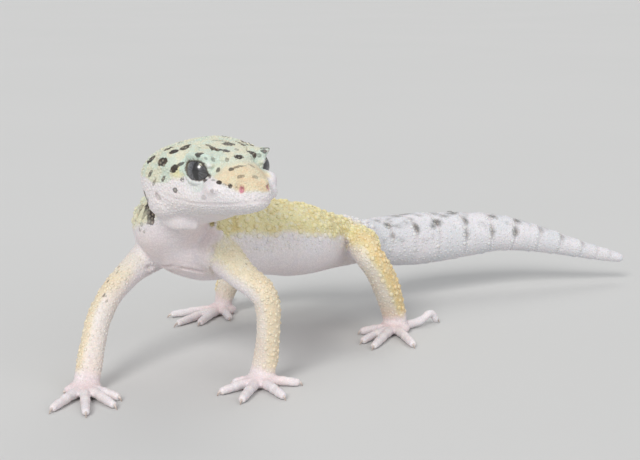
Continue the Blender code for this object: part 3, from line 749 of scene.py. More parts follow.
# Spots of the head in head axes: forward, left, up; half length, half width; direction; strength
HEAD_SPOTS = [
    (-7.5, -10.6, 1.6, 1.45, 0.74, (0.97, 0.21, 0.15), 1.0), (-12.6, -10.7, 2.0, 1.05, 0.78, (0.60, 0.35, 0.70), 1.0),
    (-9.0, -8.6, 4.1, 1.00, 0.62, (0.88, 0.39, 0.28), 0.95), (-6.4, -8.6, 3.7, 0.90, 0.60, (0.60, 0.70, 0.37), 1.0),
    (-5.6, -6.4, 4.3, 1.10, 0.66, (0.50, 0.75, 0.45), 0.95), (-4.4, -9.5, 0.6, 0.95, 0.55, (0.49, 0.48, 0.73), 1.0),
    (-3.7, -8.5, 1.3, 0.95, 0.28, (0.57, 0.70, 0.43), 0.9), (1.8, -6.9, 3.9, 0.92, 0.64, (-0.42, 0.85, 0.33), 0.95),
    (3.8, -4.7, 2.7, 0.45, 0.40, (1, 0, 0), 0.5), (4.6, -2.7, 2.5, 0.38, 0.36, (0, 1, 0), 0.6),
    (4.5, -5.0, 1.0, 0.69, 0.37, (0.56, -0.14, -0.82), 0.8), (4.2, -6.7, 2.7, 0.50, 0.20, (0.75, 0.37, -0.55), 0.45),
    (-1.8, -3.4, 4.8, 1.05, 0.32, (0.99, 0.02, -0.16), 0.75), (0.1, -3.4, 4.4, 0.95, 0.44, (0.97, -0.07, -0.25), 0.95),
    (1.5, -2.7, 4.1, 0.90, 0.38, (0.60, 0.80, -0.11), 1.0), (2.6, -1.8, 3.8, 0.75, 0.46, (0.86, 0.45, -0.24), 0.95),
    (-0.9, 0.5, 4.8, 1.15, 1.00, (-0.56, 0.82, 0.10), 0.9), (-3.0, -0.3, 5.3, 1.60, 0.32, (0.46, 0.88, -0.12), 0.4),
    (2.4, 0.5, 3.9, 0.40, 0.50, (0, 1, 0), 0.45), (4.9, -0.2, 2.7, 0.85, 0.50, (0.03, 1.0, -0.07), 1.0),
    (2.8, 3.6, 3.5, 1.30, 0.80, (0.86, 0.28, -0.43), 1.0), (3.2, 6.0, 3.4, 0.62, 0.48, (0.52, 0.83, -0.20), 0.8),
    (-1.9, 4.8, 4.5, 0.80, 0.48, (0.5, 0.8, 0), 0.4), (7.1, -1.7, 1.2, 1.35, 0.30, (0.29, 0.96, 0.04), 0.7),
    (6.8, -2.9, 1.0, 0.52, 0.42, (0.61, 0.80, 0.0), 0.85), (7.1, 1.7, 1.2, 0.75, 0.32, (0.42, 0.83, -0.38), 0.5),
    (9.4, -2.5, -0.3, 0.74, 0.40, (0.43, 0.90, 0.05), 0.55), (10.7, 0.2, -0.7, 0.80, 0.40, (-0.38, 0.89, 0.26), 0.5),
    (6.6, -5.2, -1.6, 0.62, 0.38, (0.88, 0.35, -0.30), 1.0), (9.0, -4.2, -2.2, 0.46, 0.38, (0.86, 0.45, -0.20), 0.95),
    (5.0, -5.9, -1.0, 0.90, 0.20, (0.88, 0.35, -0.30), 0.45), (7.8, -4.7, -2.0, 0.60, 0.18, (0.88, 0.35, -0.30), 0.45),
    (10.4, -3.6, -2.4, 0.40, 0.18, (0.90, 0.40, -0.10), 0.35), (-9.3, -11.1, -5.0, 1.20, 0.55, (0.80, -0.20, -0.45), 0.30),
    (6.4, -6.8, -3.2, 0.45, 0.36, (0.81, 0.58, 0.0), 0.35), (3.5, -7.5, -4.6, 0.70, 0.40, (0.96, 0.29, 0.0), 0.25),
    (-4.2, -9.6, -3.6, 0.58, 0.46, (0.90, 0.38, -0.22), 0.75), (-2.7, -8.9, -1.4, 0.42, 0.30, (0.92, 0.39, 0.0), 0.7),
    (-7.0, -10.7, -1.4, 0.68, 0.32, (0.53, 0.30, 0.80), 0.8), (-9.5, -11.7, -2.3, 0.85, 0.28, (0.56, 0.19, 0.81), 0.55),
    (-10.8, -11.9, -0.6, 0.75, 0.36, (0.55, 0.29, 0.79), 0.8), (-9.8, -5.6, 5.1, 0.70, 0.40, (0.98, 0.16, 0.13), 0.5),
    (-13.8, -11.6, -5.0, 0.95, 0.50, (0.1, 0.0, 1.0), 0.9), (-13.6, -11.4, -6.6, 0.80, 0.45, (0.1, 0.0, 1.0), 0.95), (-12.6, -11.5, -5.9, 0.40, 0.40, (1, 0, 0), 0.45),
    (-17.1, -8.7, -9.7, 0.75, 0.42, (0.59, 0.45, -0.67), 0.5), (-12.0, 2.2, 5.6, 1.10, 0.62, (0.9, 0.3, 0.0), 0.9),
    (-9.4, -0.6, 6.0, 0.90, 0.52, (0.8, -0.5, 0.0), 0.85), (-14.6, -3.4, 5.0, 1.00, 0.60, (0.7, 0.6, 0.0), 0.9),
    (-6.4, 2.6, 6.0, 0.85, 0.46, (0.9, 0.4, 0.0), 0.85), (-16.4, 1.0, 4.4, 1.05, 0.58, (0.2, 0.9, 0.0), 0.9),
]
# Blotches of the nape beside the jaw, in model millimetres: place, half length, half width, direction, strength
NAPE_SPOTS = [
    ((5.7, -41.5, 37.4), 1.10, 0.70, (0.1, 0.0, 1.0), 1.0), ((5.6, -41.4, 39.2), 0.90, 0.60, (0.1, 0.0, 1.0), 1.0),
    ((6.6, -41.8, 35.6), 0.95, 0.60, (0.2, 0.0, 1.0), 1.0), ((7.1, -41.9, 34.2), 0.55, 0.42, (0.2, 0.0, 1.0), 0.8),
    ((4.2, -41.2, 35.0), 0.50, 0.36, (0.3, 0.0, 1.0), 0.5), ((2.6, -41.0, 32.6), 0.45, 0.34, (0.3, 0.0, 1.0), 0.45),
    ((3.2, -40.6, 37.4), 0.50, 0.34, (0.3, 0.0, 1.0), 0.5), ((2.4, -40.2, 35.6), 0.42, 0.30, (0.3, 0.0, 1.0), 0.4),
    ((4.4, -41.2, 32.0), 0.40, 0.30, (0.3, 0.0, 1.0), 0.4), ((1.4, -40.2, 33.8), 0.42, 0.30, (0.3, 0.0, 1.0), 0.35),
    ((7.0, -42.7, 38.2), 1.00, 0.60, (0.1, 0.0, 1.0), 1.0), ((7.4, -42.6, 35.9), 1.30, 0.60, (0.2, 0.0, 1.0), 1.0),
    ((5.6, -42.1, 39.9), 0.80, 0.45, (0.1, 0.0, 1.0), 0.8), ((6.4, -42.3, 34.3), 0.60, 0.40, (0.1, 0.0, 1.0), 0.7),
    ((4.8, -42.0, 36.3), 0.50, 0.40, (0.3, 0.0, 1.0), 0.45), ((3.6, -41.6, 33.4), 0.45, 0.35, (0.3, 0.0, 1.0), 0.35),
    ((12.8, -8.4, 34.1), 0.42, 0.32, (0.3, 1.0, 0.0), 0.5), ((-4.7, -40.3, 22.1), 0.32, 0.26, (0.3, 0.0, 1.0), 0.45),
    ((-5.0, -42.2, 20.7), 0.45, 0.34, (0.3, 0.0, 1.0), 0.7), ((-4.2, -44.7, 18.7), 0.50, 0.36, (0.5, 0.0, 1.0), 0.7),
    ((-2.8, -45.4, 16.9), 0.32, 0.26, (0.3, 0.0, 1.0), 0.4), ((-5.6, -39.2, 22.8), 0.36, 0.28, (0.3, 0.0, 1.0), 0.6),
    ((27.4, -29.0, 19.0), 0.36, 0.28, (0.3, 0.0, 1.0), 0.35), ((22.4, -29.9, 25.6), 0.36, 0.28, (1.0, 0.0, 0.3), 0.4),
    ((6.0, -14.0, 35.5), 0.60, 0.42, (0.2, 1.0, 0.0), 0.45), ((2.6, -8.0, 34.0), 0.55, 0.42, (0.4, 1.0, 0.0), 0.4),
    ((9.4, -20.0, 36.0), 0.55, 0.40, (0.5, 1.0, 0.0), 0.45), ((3.2, -20.4, 36.0), 0.50, 0.38, (-0.3, 1.0, 0.0), 0.4),
    ((8.2, 2.0, 33.0), 0.50, 0.36, (0.2, 1.0, 0.0), 0.35), ((12.6, 5.0, 30.6), 0.45, 0.34, (0.2, 1.0, 0.0), 0.35),
    ((6.4, -30.6, 39.0), 0.70, 0.50, (0.2, 1.0, 0.0), 0.75), ((9.6, -33.8, 44.0), 0.75, 0.50, (0.6, 1.0, 0.0), 0.8),
    ((3.4, -34.0, 38.6), 0.65, 0.45, (0.2, 1.0, 0.0), 0.65), ((13.0, -31.2, 42.6), 0.65, 0.45, (0.4, 1.0, 0.0), 0.7),
]


def spot_depth(points, at, half, across, direction):
    """Signed depth inside an oval spot, in mm: positive inside."""
    d = points - np.asarray(at, float)
    direction = np.asarray(direction, float)
    direction = direction / np.linalg.norm(direction)
    x = d @ direction
    y = np.sqrt(np.maximum((d * d).sum(1) - x * x, 0))
    return (1 - np.sqrt((x / half) ** 2 + (y / across) ** 2)) * across


def stack_spots(points, spots):
    """Depth of the deepest spot over each point, and that spot's strength."""
    best, power = np.full(len(points), -3.0), np.zeros(len(points))
    for at, half, across, direction, strength in spots:
        at = points[np.argmin(((points - np.asarray(at)) ** 2).sum(1))]
        depth = spot_depth(points, at, half * 1.15, across * 1.22, direction)
        power = np.where(depth > best, strength, power)
        best = np.maximum(best, depth)
    return best, power


def mirrored_head_spots():
    spots = []
    for f, l, u, half, across, direction, strength in HEAD_SPOTS:
        spots.append(((f, l, u), half, across, direction, strength))
        if l < -3.0 and f < 4.0:
            shift = 0.55 * math.sin(f * 3.1 + u)
            spots.append(((f + shift, -l, u), half * 0.95, across, (direction[0], -direction[1], direction[2]), strength))
    return spots


# Direction in which each limb carries its coloured band, and how far round it reaches
LIMB_BANDS = {
    "arm_left": ((0.88, 0.26, 0.33), -0.08), "arm_right": ((-0.84, -0.42, 0.33), 0.05),
    "leg_left": ((0.78, 0.42, 0.46), 0.0), "leg_right": ((-0.78, 0.42, 0.46), 0.0),
}
# Grey marks of the tail: distance from the tip, angle round (90 degrees on top, 180 at its left side), half length
# along the tail, half width round it, strength
TAIL_SIDE = [
    (77.6, 130, 0.95, 0.65, 0.95), (77.3, 161, 0.70, 0.52, 0.75), (81.0, 174, 0.75, 0.45, 0.40), (74.1, 171, 0.75, 0.45, 0.40),
    (66.3, 84, 1.55, 0.65, 0.90), (67.9, 144, 0.80, 1.05, 0.95), (67.6, 118, 0.65, 0.50, 0.60), (65.8, 173, 0.70, 0.45, 0.35),
    (59.7, 133, 1.15, 0.80, 1.00), (61.9, 142, 0.70, 0.60, 0.85), (55.8, 114, 0.90, 0.50, 0.85), (52.2, 101, 1.15, 0.65, 0.90),
    (49.8, 131, 0.60, 0.95, 0.95), (50.7, 168, 0.52, 0.90, 0.70), (44.8, 147, 0.55, 0.75, 0.50), (40.5, 111, 0.75, 0.90, 0.95),
    (41.9, 166, 0.52, 1.00, 0.80), (33.7, 112, 0.75, 0.90, 0.95), (34.9, 163, 0.65, 1.00, 0.90), (30.0, 112, 0.50, 0.60, 0.40),
    (26.7, 121, 0.52, 1.10, 0.60), (20.3, 130, 0.50, 0.85, 0.60), (13.6, 130, 0.42, 0.60, 0.40), (72.0, 98, 0.70, 0.55, 0.60),
    (46.6, 90, 0.70, 0.55, 0.60), (37.2, 136, 0.45, 0.45, 0.35), (62.8, 166, 0.50, 0.42, 0.30), (79.6, 108, 0.80, 0.60, 0.70),
    (75.2, 112, 0.70, 0.55, 0.75), (70.4, 96, 0.95, 0.60, 0.80), (63.6, 104, 0.80, 0.55, 0.70), (57.6, 100, 0.80, 0.60, 0.75),
    (73.4, 138, 0.60, 0.50, 0.60), (70.8, 128, 0.55, 0.60, 0.50), (55.0, 150, 0.50, 0.50, 0.35), (48.6, 108, 0.60, 0.60, 0.60),
    (38.6, 92, 0.60, 0.55, 0.60), (31.6, 96, 0.55, 0.55, 0.55), (25.0, 100, 0.55, 0.70, 0.50), (18.4, 104, 0.45, 0.55, 0.45),
]
TAIL_SPOTS = TAIL_SIDE + [(at + 1.3 * math.sin(3.7 * at), 178 - round_ + 5 * math.sin(at), half, across, strength)
                          for at, round_, half, across, strength in TAIL_SIDE if round_ > 95]


def markings(points, normals, s=None):
    """Strengths of each colour at points, in mm, with their outward normals."""
    s = s or survey(points)
    f, l, u = s["h"].T
    w = s["w"]
    hands = sum(w[n] for n in HANDS)
    m = {}
    # head
    edge = np.interp(f, *np.array(CROWN_EDGE).T)
    crown = w["head"] * ramp(u - edge + 0.35 * smooth_noise(points, 2.2, 3), -0.35, 0.45)
    crown = crown * (1 - ramp(np.abs(l), 5.2, 6.1) * ramp(f, 2.6, 3.6))
    m["peach"] = crown * ramp(f - 0.8 * np.maximum(u - 0.6, 0), 2.0, 8.4)
    corner = np.minimum(np.linalg.norm(s["h"] - np.array([-4.0, -8.9, -0.2]), axis=1),
                        np.linalg.norm(s["h"] - np.array([-4.0, 8.9, -0.2]), axis=1))
    m["lemon"] = w["head"] * (1 - ramp(corner, 0.7, 1.9))
    # trunk and neck
    arc, station, share, angle = s["torso"]
    high = np.sin(angle)
    line = np.interp(station, [8, 9, 10, 11, 12, 13, 14, 15, 16, 17, 18],
                     [0.62, 0.30, 0.16, 0.10, 0.20, 0.30, 0.24, -0.10, -0.42, -0.45, -0.40])
    back = ramp(high - line + 0.10 * smooth_noise(points, 4.0, 7), -0.09, 0.13)
    back *= ramp(station + 0.25 * smooth_noise(points, 3.2, 17), 9.3, 10.1)
    neck = ramp(station, 14.6, 15.8)
    m["yellow"] = w["torso"] * back * (1 - 0.85 * neck)
    m["crown"] = np.clip(crown + w["torso"] * back * neck, 0, 1)
    # limbs
    gold = np.zeros(len(points))
    for name, (aim, level) in LIMB_BANDS.items():
        aim = np.array(aim) / np.linalg.norm(aim)
        at = s[name][1]
        facing = normals @ aim + 0.10 * smooth_noise(points, 3.0, 11)
        # the band widens over the top of the upper limb
        facing = np.maximum(facing, (normals[:, 2] - 0.15) * (1 - ramp(at, 2.2, 3.8)))
        band = 0.45 * ramp(facing, level - 0.45, level + 0.15) + 0.55 * ramp(facing, level - 0.05, level + 0.45)
        reach = 1 - ramp(at, 6.2, 6.9)
        band = band * reach
        if name == "arm_right":  # the skin of the right shoulder is stretched and pale
            band = band * (0.15 + 0.85 * ramp(at + 0.3 * smooth_noise(points, 2.6, 19), 1.3, 2.9))
        m["yellow"] = m["yellow"] + w[name] * band * (0.62 if "arm" in name else 1.0)
        if "leg" in name:
            gold += w[name] * band * ramp(at, 1.6, 3.0) * (0.35 + 0.65 * ramp(facing, level + 0.15, level + 0.75))
        else:
            gold += w[name] * band * 0.70 * ramp(at, 1.6, 3.0)
    m["yellow"] = np.clip(m["yellow"], 0, 1)
    m["gold"] = np.clip(gold, 0, 1)
    # thin pink skin: hands, inner bends, nostrils, ears, belly
    pink = 0.06 * hands
    for centre, _, _, _, _ in HANDS.values():
        pink = pink + 0.40 * hands * (1 - ramp(np.linalg.norm(points - np.array([*centre, 1.4]), axis=1), 2.4, 6.5))
    for name in LIMBS:
        pink = pink + w[name] * (0.10 + 0.26 * ramp(s[name][1], 5.0, 6.6))
    pink = pink + w["torso"] * 0.16 * ramp(-high, 0.1, 0.9) * ramp(station, 8, 9)
    for side in (1, -1):
        d = np.linalg.norm((s["h"] - np.array([NOSTRIL_AT[0], NOSTRIL_AT[1] * side + SNOUT_BEND, NOSTRIL_AT[2]])) * (1, 1, 0.7), axis=1)
        pink = pink + 2.4 * w["head"] * (1 - ramp(d, 0.30, 0.85))
        d = np.linalg.norm(s["h"] - np.array([EAR_AT[0], EAR_AT[1] * side, EAR_AT[2]]), axis=1)
        pink = pink + 0.12 * w["head"] * (1 - ramp(d, 0.6, 1.7))
    m["pink"] = np.clip(pink, 0, 2.4)
    # tail: cool white, with the band of yellow ending at its root
    m["tail"] = w["torso"] * (1 - ramp(station, 8.6, 10.0))
    # dark markings
    depth, power = stack_spots(s["h"], mirrored_head_spots())
    depth = np.where(w["head"] > 0.25, depth, -3)
    nape, nape_power = stack_spots(points, NAPE_SPOTS)
    power = np.where(nape > depth, nape_power, power)
    depth = np.maximum(depth, nape)
    # dark rim of the lids: the lid margin's own dark edge, widened above by painted shade under the upper lid
    for side in (1, -1):
        r, fw, up, _, gap = eye_place(points, side)
        upper = ramp(up - 0.25 * fw, -0.4, 0.9)
        rim = np.where(r < EYE_R + 1.1, 0.15 + 0.03 * upper - np.abs(gap + 0.02), -3)
        power = np.where(rim > depth, 0.9, power)
        depth = np.maximum(depth, rim)
    m["dark"], m["dark_power"] = np.clip(depth, -1, 1), power
    # pale rim of the upper and lower lid
    lid = np.zeros(len(points))
    for side in (1, -1):
        r, fw, up, _, gap = eye_place(points, side)
        lid = np.maximum(lid, (r < EYE_R + 1.6) * (1 - ramp(np.abs(gap - 0.62), 0.35, 0.75)) * w["head"] * (0.45 + 0.55 * ramp(up - 0.3 * fw, -0.2, 0.8)))
    m["lid"] = lid
    # grey marks of the tail
    grey, grey_power = np.full(len(points), -3.0), np.zeros(len(points))
    for at, round_, half, across, strength in TAIL_SPOTS:
        d = np.degrees(angle) - round_
        d = (d + 180) % 360 - 180
        girth = np.interp(arc, TORSO.arc, TORSO.size[:, 0])
        depth = (1 - np.sqrt(((arc - at) / (half * 1.55)) ** 2 + (np.radians(d) * girth / (across * 1.6)) ** 2)) * min(half, across)
        depth = np.where(w["torso"] > 0.3, depth, -3)
        grey_power = np.where(depth > grey, strength, grey_power)
        grey = np.maximum(grey, depth)
    m["grey"], m["grey_power"] = np.clip(grey, -1, 1), grey_power
    # painted shade in the furrows: along the mouth line, in the skin folds and between the tail's whorls, heavier on
    # the top of the tail
    painted_crease_shade = np.zeros(len(points))
    line_f, line_u = np.array(MOUTH).T
    gap = np.abs(u - np.interp(f, line_f, line_u))
    painted_crease_shade += w["head"] * ramp(f, -7.4, -5.8) * np.exp(-(gap / 0.24) ** 2) * 0.17
    for line, fold_depth, width in FOLDS:
        gap, where = polyline_gap(points, line)
        painted_crease_shade += np.exp(-(gap / width) ** 2) * ramp(where, 0, 0.2) * ramp(1 - where, 0, 0.2) * 0.8 * fold_depth
    for at in WHORLS:
        painted_crease_shade += w["torso"] * np.exp(-((arc - at) / 0.4) ** 2) * 0.35 * ramp(high, -0.6, 0.6)
    m["painted_crease_shade"] = np.clip(painted_crease_shade, 0, 1)
    return m


def store(mesh, name, values):
    made = mesh.attributes.new(name, "FLOAT", "POINT")
    made.data.foreach_set("value", np.asarray(values, np.float32))


MARKS = ("crown", "peach", "lemon", "yellow", "gold", "pink", "tail", "dark", "dark_power", "grey", "grey_power",
         "lid", "painted_crease_shade")


# ------------------------------------------------------------------ materials


class Net:
    """A material's nodes, made by short calls. Sockets or numbers go in, sockets come out."""

    def __init__(self, name):
        self.material = bpy.data.materials.new(name)
        self.material.use_nodes = True
        self.tree = self.material.node_tree
        self.shader = self.tree.nodes["Principled BSDF"]

    def put(self, socket, value):
        if isinstance(value, bpy.types.NodeSocket):
            self.tree.links.new(value, socket)
        else:
            socket.default_value = value

    def math(self, op, a, b=0.0, clamp=False):
        node = self.tree.nodes.new("ShaderNodeMath")
        node.operation, node.use_clamp = op, clamp
        self.put(node.inputs[0], a)
        self.put(node.inputs[1], b)
        return node.outputs[0]

    def attribute(self, name):
        node = self.tree.nodes.new("ShaderNodeAttribute")
        node.attribute_name = name
        return node.outputs["Fac"]

    def place(self):
        node = self.tree.nodes.new("ShaderNodeTexCoord")
        return node.outputs["Object"]

    def noise(self, scale, detail=2.0, vector=None, roughness=0.5):
        node = self.tree.nodes.new("ShaderNodeTexNoise")
        self.put(node.inputs["Vector"], vector or self.place())
        node.inputs["Scale"].default_value = scale
        node.inputs["Detail"].default_value = detail
        node.inputs["Roughness"].default_value = roughness
        return node.outputs["Fac"]

    def cells(self, scale, vector=None, feature="F1"):
        node = self.tree.nodes.new("ShaderNodeTexVoronoi")
        node.feature = feature
        self.put(node.inputs["Vector"], vector or self.place())
        node.inputs["Scale"].default_value = scale
        return node

    def step(self, x, low, high):
        """Smooth step of a socket between two levels."""
        node = self.tree.nodes.new("ShaderNodeMapRange")
        node.interpolation_type = "SMOOTHSTEP"
        self.put(node.inputs["Value"], x)
        node.inputs["From Min"].default_value, node.inputs["From Max"].default_value = low, high
        return node.outputs["Result"]

    def spread(self, x, low, high, to_low, to_high):
        node = self.tree.nodes.new("ShaderNodeMapRange")
        self.put(node.inputs["Value"], x)
        node.inputs["From Min"].default_value, node.inputs["From Max"].default_value = low, high
        node.inputs["To Min"].default_value, node.inputs["To Max"].default_value = to_low, to_high
        return node.outputs["Result"]

    def mix(self, share, a, b, blend="MIX"):
        node = self.tree.nodes.new("ShaderNodeMix")
        node.data_type, node.blend_type = "RGBA", blend
        self.put(node.inputs[0], share)
        self.put(node.inputs[6], a if isinstance(a, bpy.types.NodeSocket) else (*a, 1))
        self.put(node.inputs[7], b if isinstance(b, bpy.types.NodeSocket) else (*b, 1))
        return node.outputs[2]

    def vector(self, x, y, z):
        node = self.tree.nodes.new("ShaderNodeCombineXYZ")
        for socket, value in zip(node.inputs, (x, y, z)):
            self.put(socket, value)
        return node.outputs[0]

    def bump(self, height, distance, strength=1.0, normal=None):
        node = self.tree.nodes.new("ShaderNodeBump")
        self.put(node.inputs["Height"], height)
        node.inputs["Distance"].default_value = distance
        node.inputs["Strength"].default_value = strength
        if normal:
            self.put(node.inputs["Normal"], normal)
        return node.outputs[0]


def srgb(r, g, b):
    """0 to 255 display values as linear colour."""
    return tuple((c / 255 / 12.92) if c / 255 <= 0.04045 else ((c / 255 + 0.055) / 1.055) ** 2.4 for c in (r, g, b))


WHITE = srgb(240, 234, 236)
PINK = srgb(234, 190, 190)
CROWN = srgb(224, 221, 196)
CROWN_COOL = srgb(211, 221, 205)
PEACH = srgb(234, 220, 186)
LEMON = srgb(232, 222, 160)
YELLOW = srgb(236, 225, 168)
YELLOW_DEEP = srgb(229, 211, 146)
GOLD = srgb(237, 204, 138)
TAIL = srgb(226, 225, 229)
DARK = srgb(48, 38, 36)
BROWN = srgb(92, 68, 48)
GREY = srgb(100, 101, 97)
LID = srgb(212, 229, 217)


def hide_material(name, coat):
    """Skin of the whole animal, or the scales on it, coloured by the same markings."""
    n = Net(name)
    a = {key: n.attribute(key) for key in MARKS}
    fine, mid, broad = n.noise(2600, 3), n.noise(620, 3), n.noise(140, 2)
    base = n.mix(n.step(broad, 0.40, 0.64), WHITE, srgb(242, 234, 234))
    base = n.mix(n.math("MULTIPLY", n.step(mid, 0.42, 0.72), 0.35), base, srgb(226, 220, 228))
    base = n.mix(a["tail"], base, n.mix(n.step(broad, 0.38, 0.66), TAIL, srgb(234, 230, 234)))
    base = n.mix(n.math("MULTIPLY", a["pink"], n.spread(broad, 0.3, 0.7, 0.45, 0.75), clamp=True), base, PINK)
    crown = n.mix(n.step(n.noise(420, 2), 0.44, 0.60), CROWN, CROWN_COOL)
    crown = n.mix(a["peach"], crown, n.mix(n.step(n.noise(500, 2), 0.38, 0.66), PEACH, srgb(232, 207, 170)))
    base = n.mix(n.math("MULTIPLY", a["crown"], 0.95), base, crown)
    base = n.mix(n.math("MULTIPLY", a["lemon"], 0.55), base, LEMON)
    yellow = n.mix(n.step(n.noise(300, 3), 0.40, 0.64), YELLOW, YELLOW_DEEP)
    yellow = n.mix(n.step(n.noise(900, 2), 0.52, 0.70), yellow, srgb(238, 230, 196))
    yellow = n.mix(a["gold"], yellow, n.mix(n.step(mid, 0.35, 0.65), GOLD, srgb(241, 218, 168)))
    base = n.mix(n.math("MULTIPLY", a["yellow"], 0.93), base, yellow)
    base = n.mix(n.math("MULTIPLY", a["lid"], 0.85), base, LID)
    base = n.mix(n.math("MULTIPLY", n.step(a["pink"], 1.0, 2.6), 0.8), base, srgb(208, 130, 158))
    # spots with broken edges
    ragged = n.math("SUBTRACT", n.noise(2100, 2), 0.5)
    edge = n.math("ADD", a["dark"], n.math("MULTIPLY", ragged, 0.34))
    spot = n.math("MULTIPLY", n.step(edge, -0.09, 0.11), a["dark_power"])
    dark = n.mix(n.step(mid, 0.45, 0.75), DARK, BROWN)
    base = n.mix(n.math("MULTIPLY", spot, 0.97), base, dark)
    edge = n.math("ADD", a["grey"], n.math("MULTIPLY", ragged, 0.6))
    spot = n.math("MULTIPLY", n.step(edge, -0.42, 0.55), a["grey_power"])
    base = n.mix(n.math("MULTIPLY", spot, 0.9), base, GREY)
    # painted shade darkens the furrows
    base = n.mix(n.math("MULTIPLY", a["painted_crease_shade"], 0.55), base, srgb(186, 152, 148))
    # granules: each a little lighter at its middle, with painted shade darkening its edge between the granules
    grain = n.cells(2300)
    shade = n.spread(grain.outputs["Distance"], 0.0, 0.62, 1.045, 0.90)
    tint = n.mix(1.0, base, n.vector(shade, shade, shade), "MULTIPLY")
    speck = n.spread(fine, 0.3, 0.7, 0.955, 1.045)
    tint = n.mix(1.0, tint, n.vector(speck, speck, speck), "MULTIPLY")
    if coat:
        tip = n.attribute("tip")
        tint = n.mix(n.math("MULTIPLY", tip, 0.26), tint, srgb(246, 238, 214))
        # painted shade: each scale a little darker towards its base, where it meets the skin
        low = n.spread(tip, 0.0, 0.5, 0.92, 1.0)
        tint = n.mix(1.0, tint, n.vector(low, low, low), "MULTIPLY")
    n.put(n.shader.inputs["Base Color"], tint)
    rough = n.spread(mid, 0.3, 0.7, 0.46, 0.60)
    n.put(n.shader.inputs["Roughness"], rough)
    n.shader.inputs["Specular IOR Level"].default_value = 0.42
    n.shader.inputs["Subsurface Weight"].default_value = 0.10
    n.shader.inputs["Subsurface Radius"].default_value = (1.0, 0.45, 0.30)
    n.shader.inputs["Subsurface Scale"].default_value = 0.0009
    dome = n.spread(grain.outputs["Distance"], 0.0, 0.6, 1.0, 0.0)
    height = n.math("ADD", dome, n.math("MULTIPLY", fine, 0.35))
    n.put(n.shader.inputs["Normal"], n.bump(height, 0.00006 if not coat else 0.00003, 0.7))
    return n.material


def eye_material():
    n = Net("eye_wet")
    f, u, slit = n.attribute("iris_f"), n.attribute("iris_u"), n.attribute("slit")
    r = n.math("SQRT", n.math("ADD", n.math("MULTIPLY", f, f), n.math("MULTIPLY", u, u)))
    safe = n.math("MAXIMUM", r, 0.05)
    streak = n.noise(1.0, 3, n.vector(n.math("MULTIPLY", n.math("DIVIDE", f, safe), 7.0),
                                      n.math("MULTIPLY", n.math("DIVIDE", u, safe), 7.0),
                                      n.math("MULTIPLY", r, 0.9)), 0.65)
    mottle = n.noise(1.0, 4, n.vector(n.math("MULTIPLY", f, 4.2), n.math("MULTIPLY", u, 4.2), 0.0), 0.6)
    iris = n.mix(n.step(streak, 0.34, 0.68), srgb(46, 47, 52), srgb(104, 106, 112))
    iris = n.mix(n.math("MULTIPLY", n.step(mottle, 0.52, 0.68), 0.55), iris, srgb(84, 74, 58))
    front = n.step(f, 0.2, 1.6)
    iris = n.mix(n.math("MULTIPLY", front, 0.62), iris, srgb(34, 30, 24))
    iris = n.mix(n.step(r, 2.1, 2.9), iris, srgb(20, 18, 20))
    iris = n.mix(n.math("MULTIPLY", n.step(n.math("ABSOLUTE", slit), 0.30, 0.02), 0.55), iris, srgb(26, 22, 22))
    eye = n.mix(n.step(slit, -0.05, 0.06), iris, srgb(5, 5, 6))
    n.put(n.shader.inputs["Base Color"], eye)
    n.put(n.shader.inputs["Roughness"], n.spread(streak, 0.3, 0.7, 0.28, 0.42))
    n.shader.inputs["Coat Weight"].default_value = 1.0
    n.shader.inputs["Coat Roughness"].default_value = 0.03
    n.shader.inputs["Coat IOR"].default_value = 1.6
    n.put(n.shader.inputs["Normal"], n.bump(streak, 0.00004, 0.5))
    return n.material


def claw_material():
    n = Net("claw_horn")
    t = n.attribute("along")
    colour = n.mix(n.step(t, 0.2, 0.95), srgb(226, 214, 208), srgb(176, 158, 146))
    colour = n.mix(n.math("MULTIPLY", n.step(n.noise(2500, 3), 0.45, 0.7), 0.4), colour, srgb(206, 190, 176))
    n.put(n.shader.inputs["Base Color"], colour)
    n.put(n.shader.inputs["Roughness"], n.spread(n.noise(1800, 2), 0.3, 0.7, 0.24, 0.38))
    n.put(n.shader.inputs["Normal"], n.bump(n.noise(3200, 2), 0.00002, 0.5))
    return n.material


# ------------------------------------------------------------------ stage, camera and lights


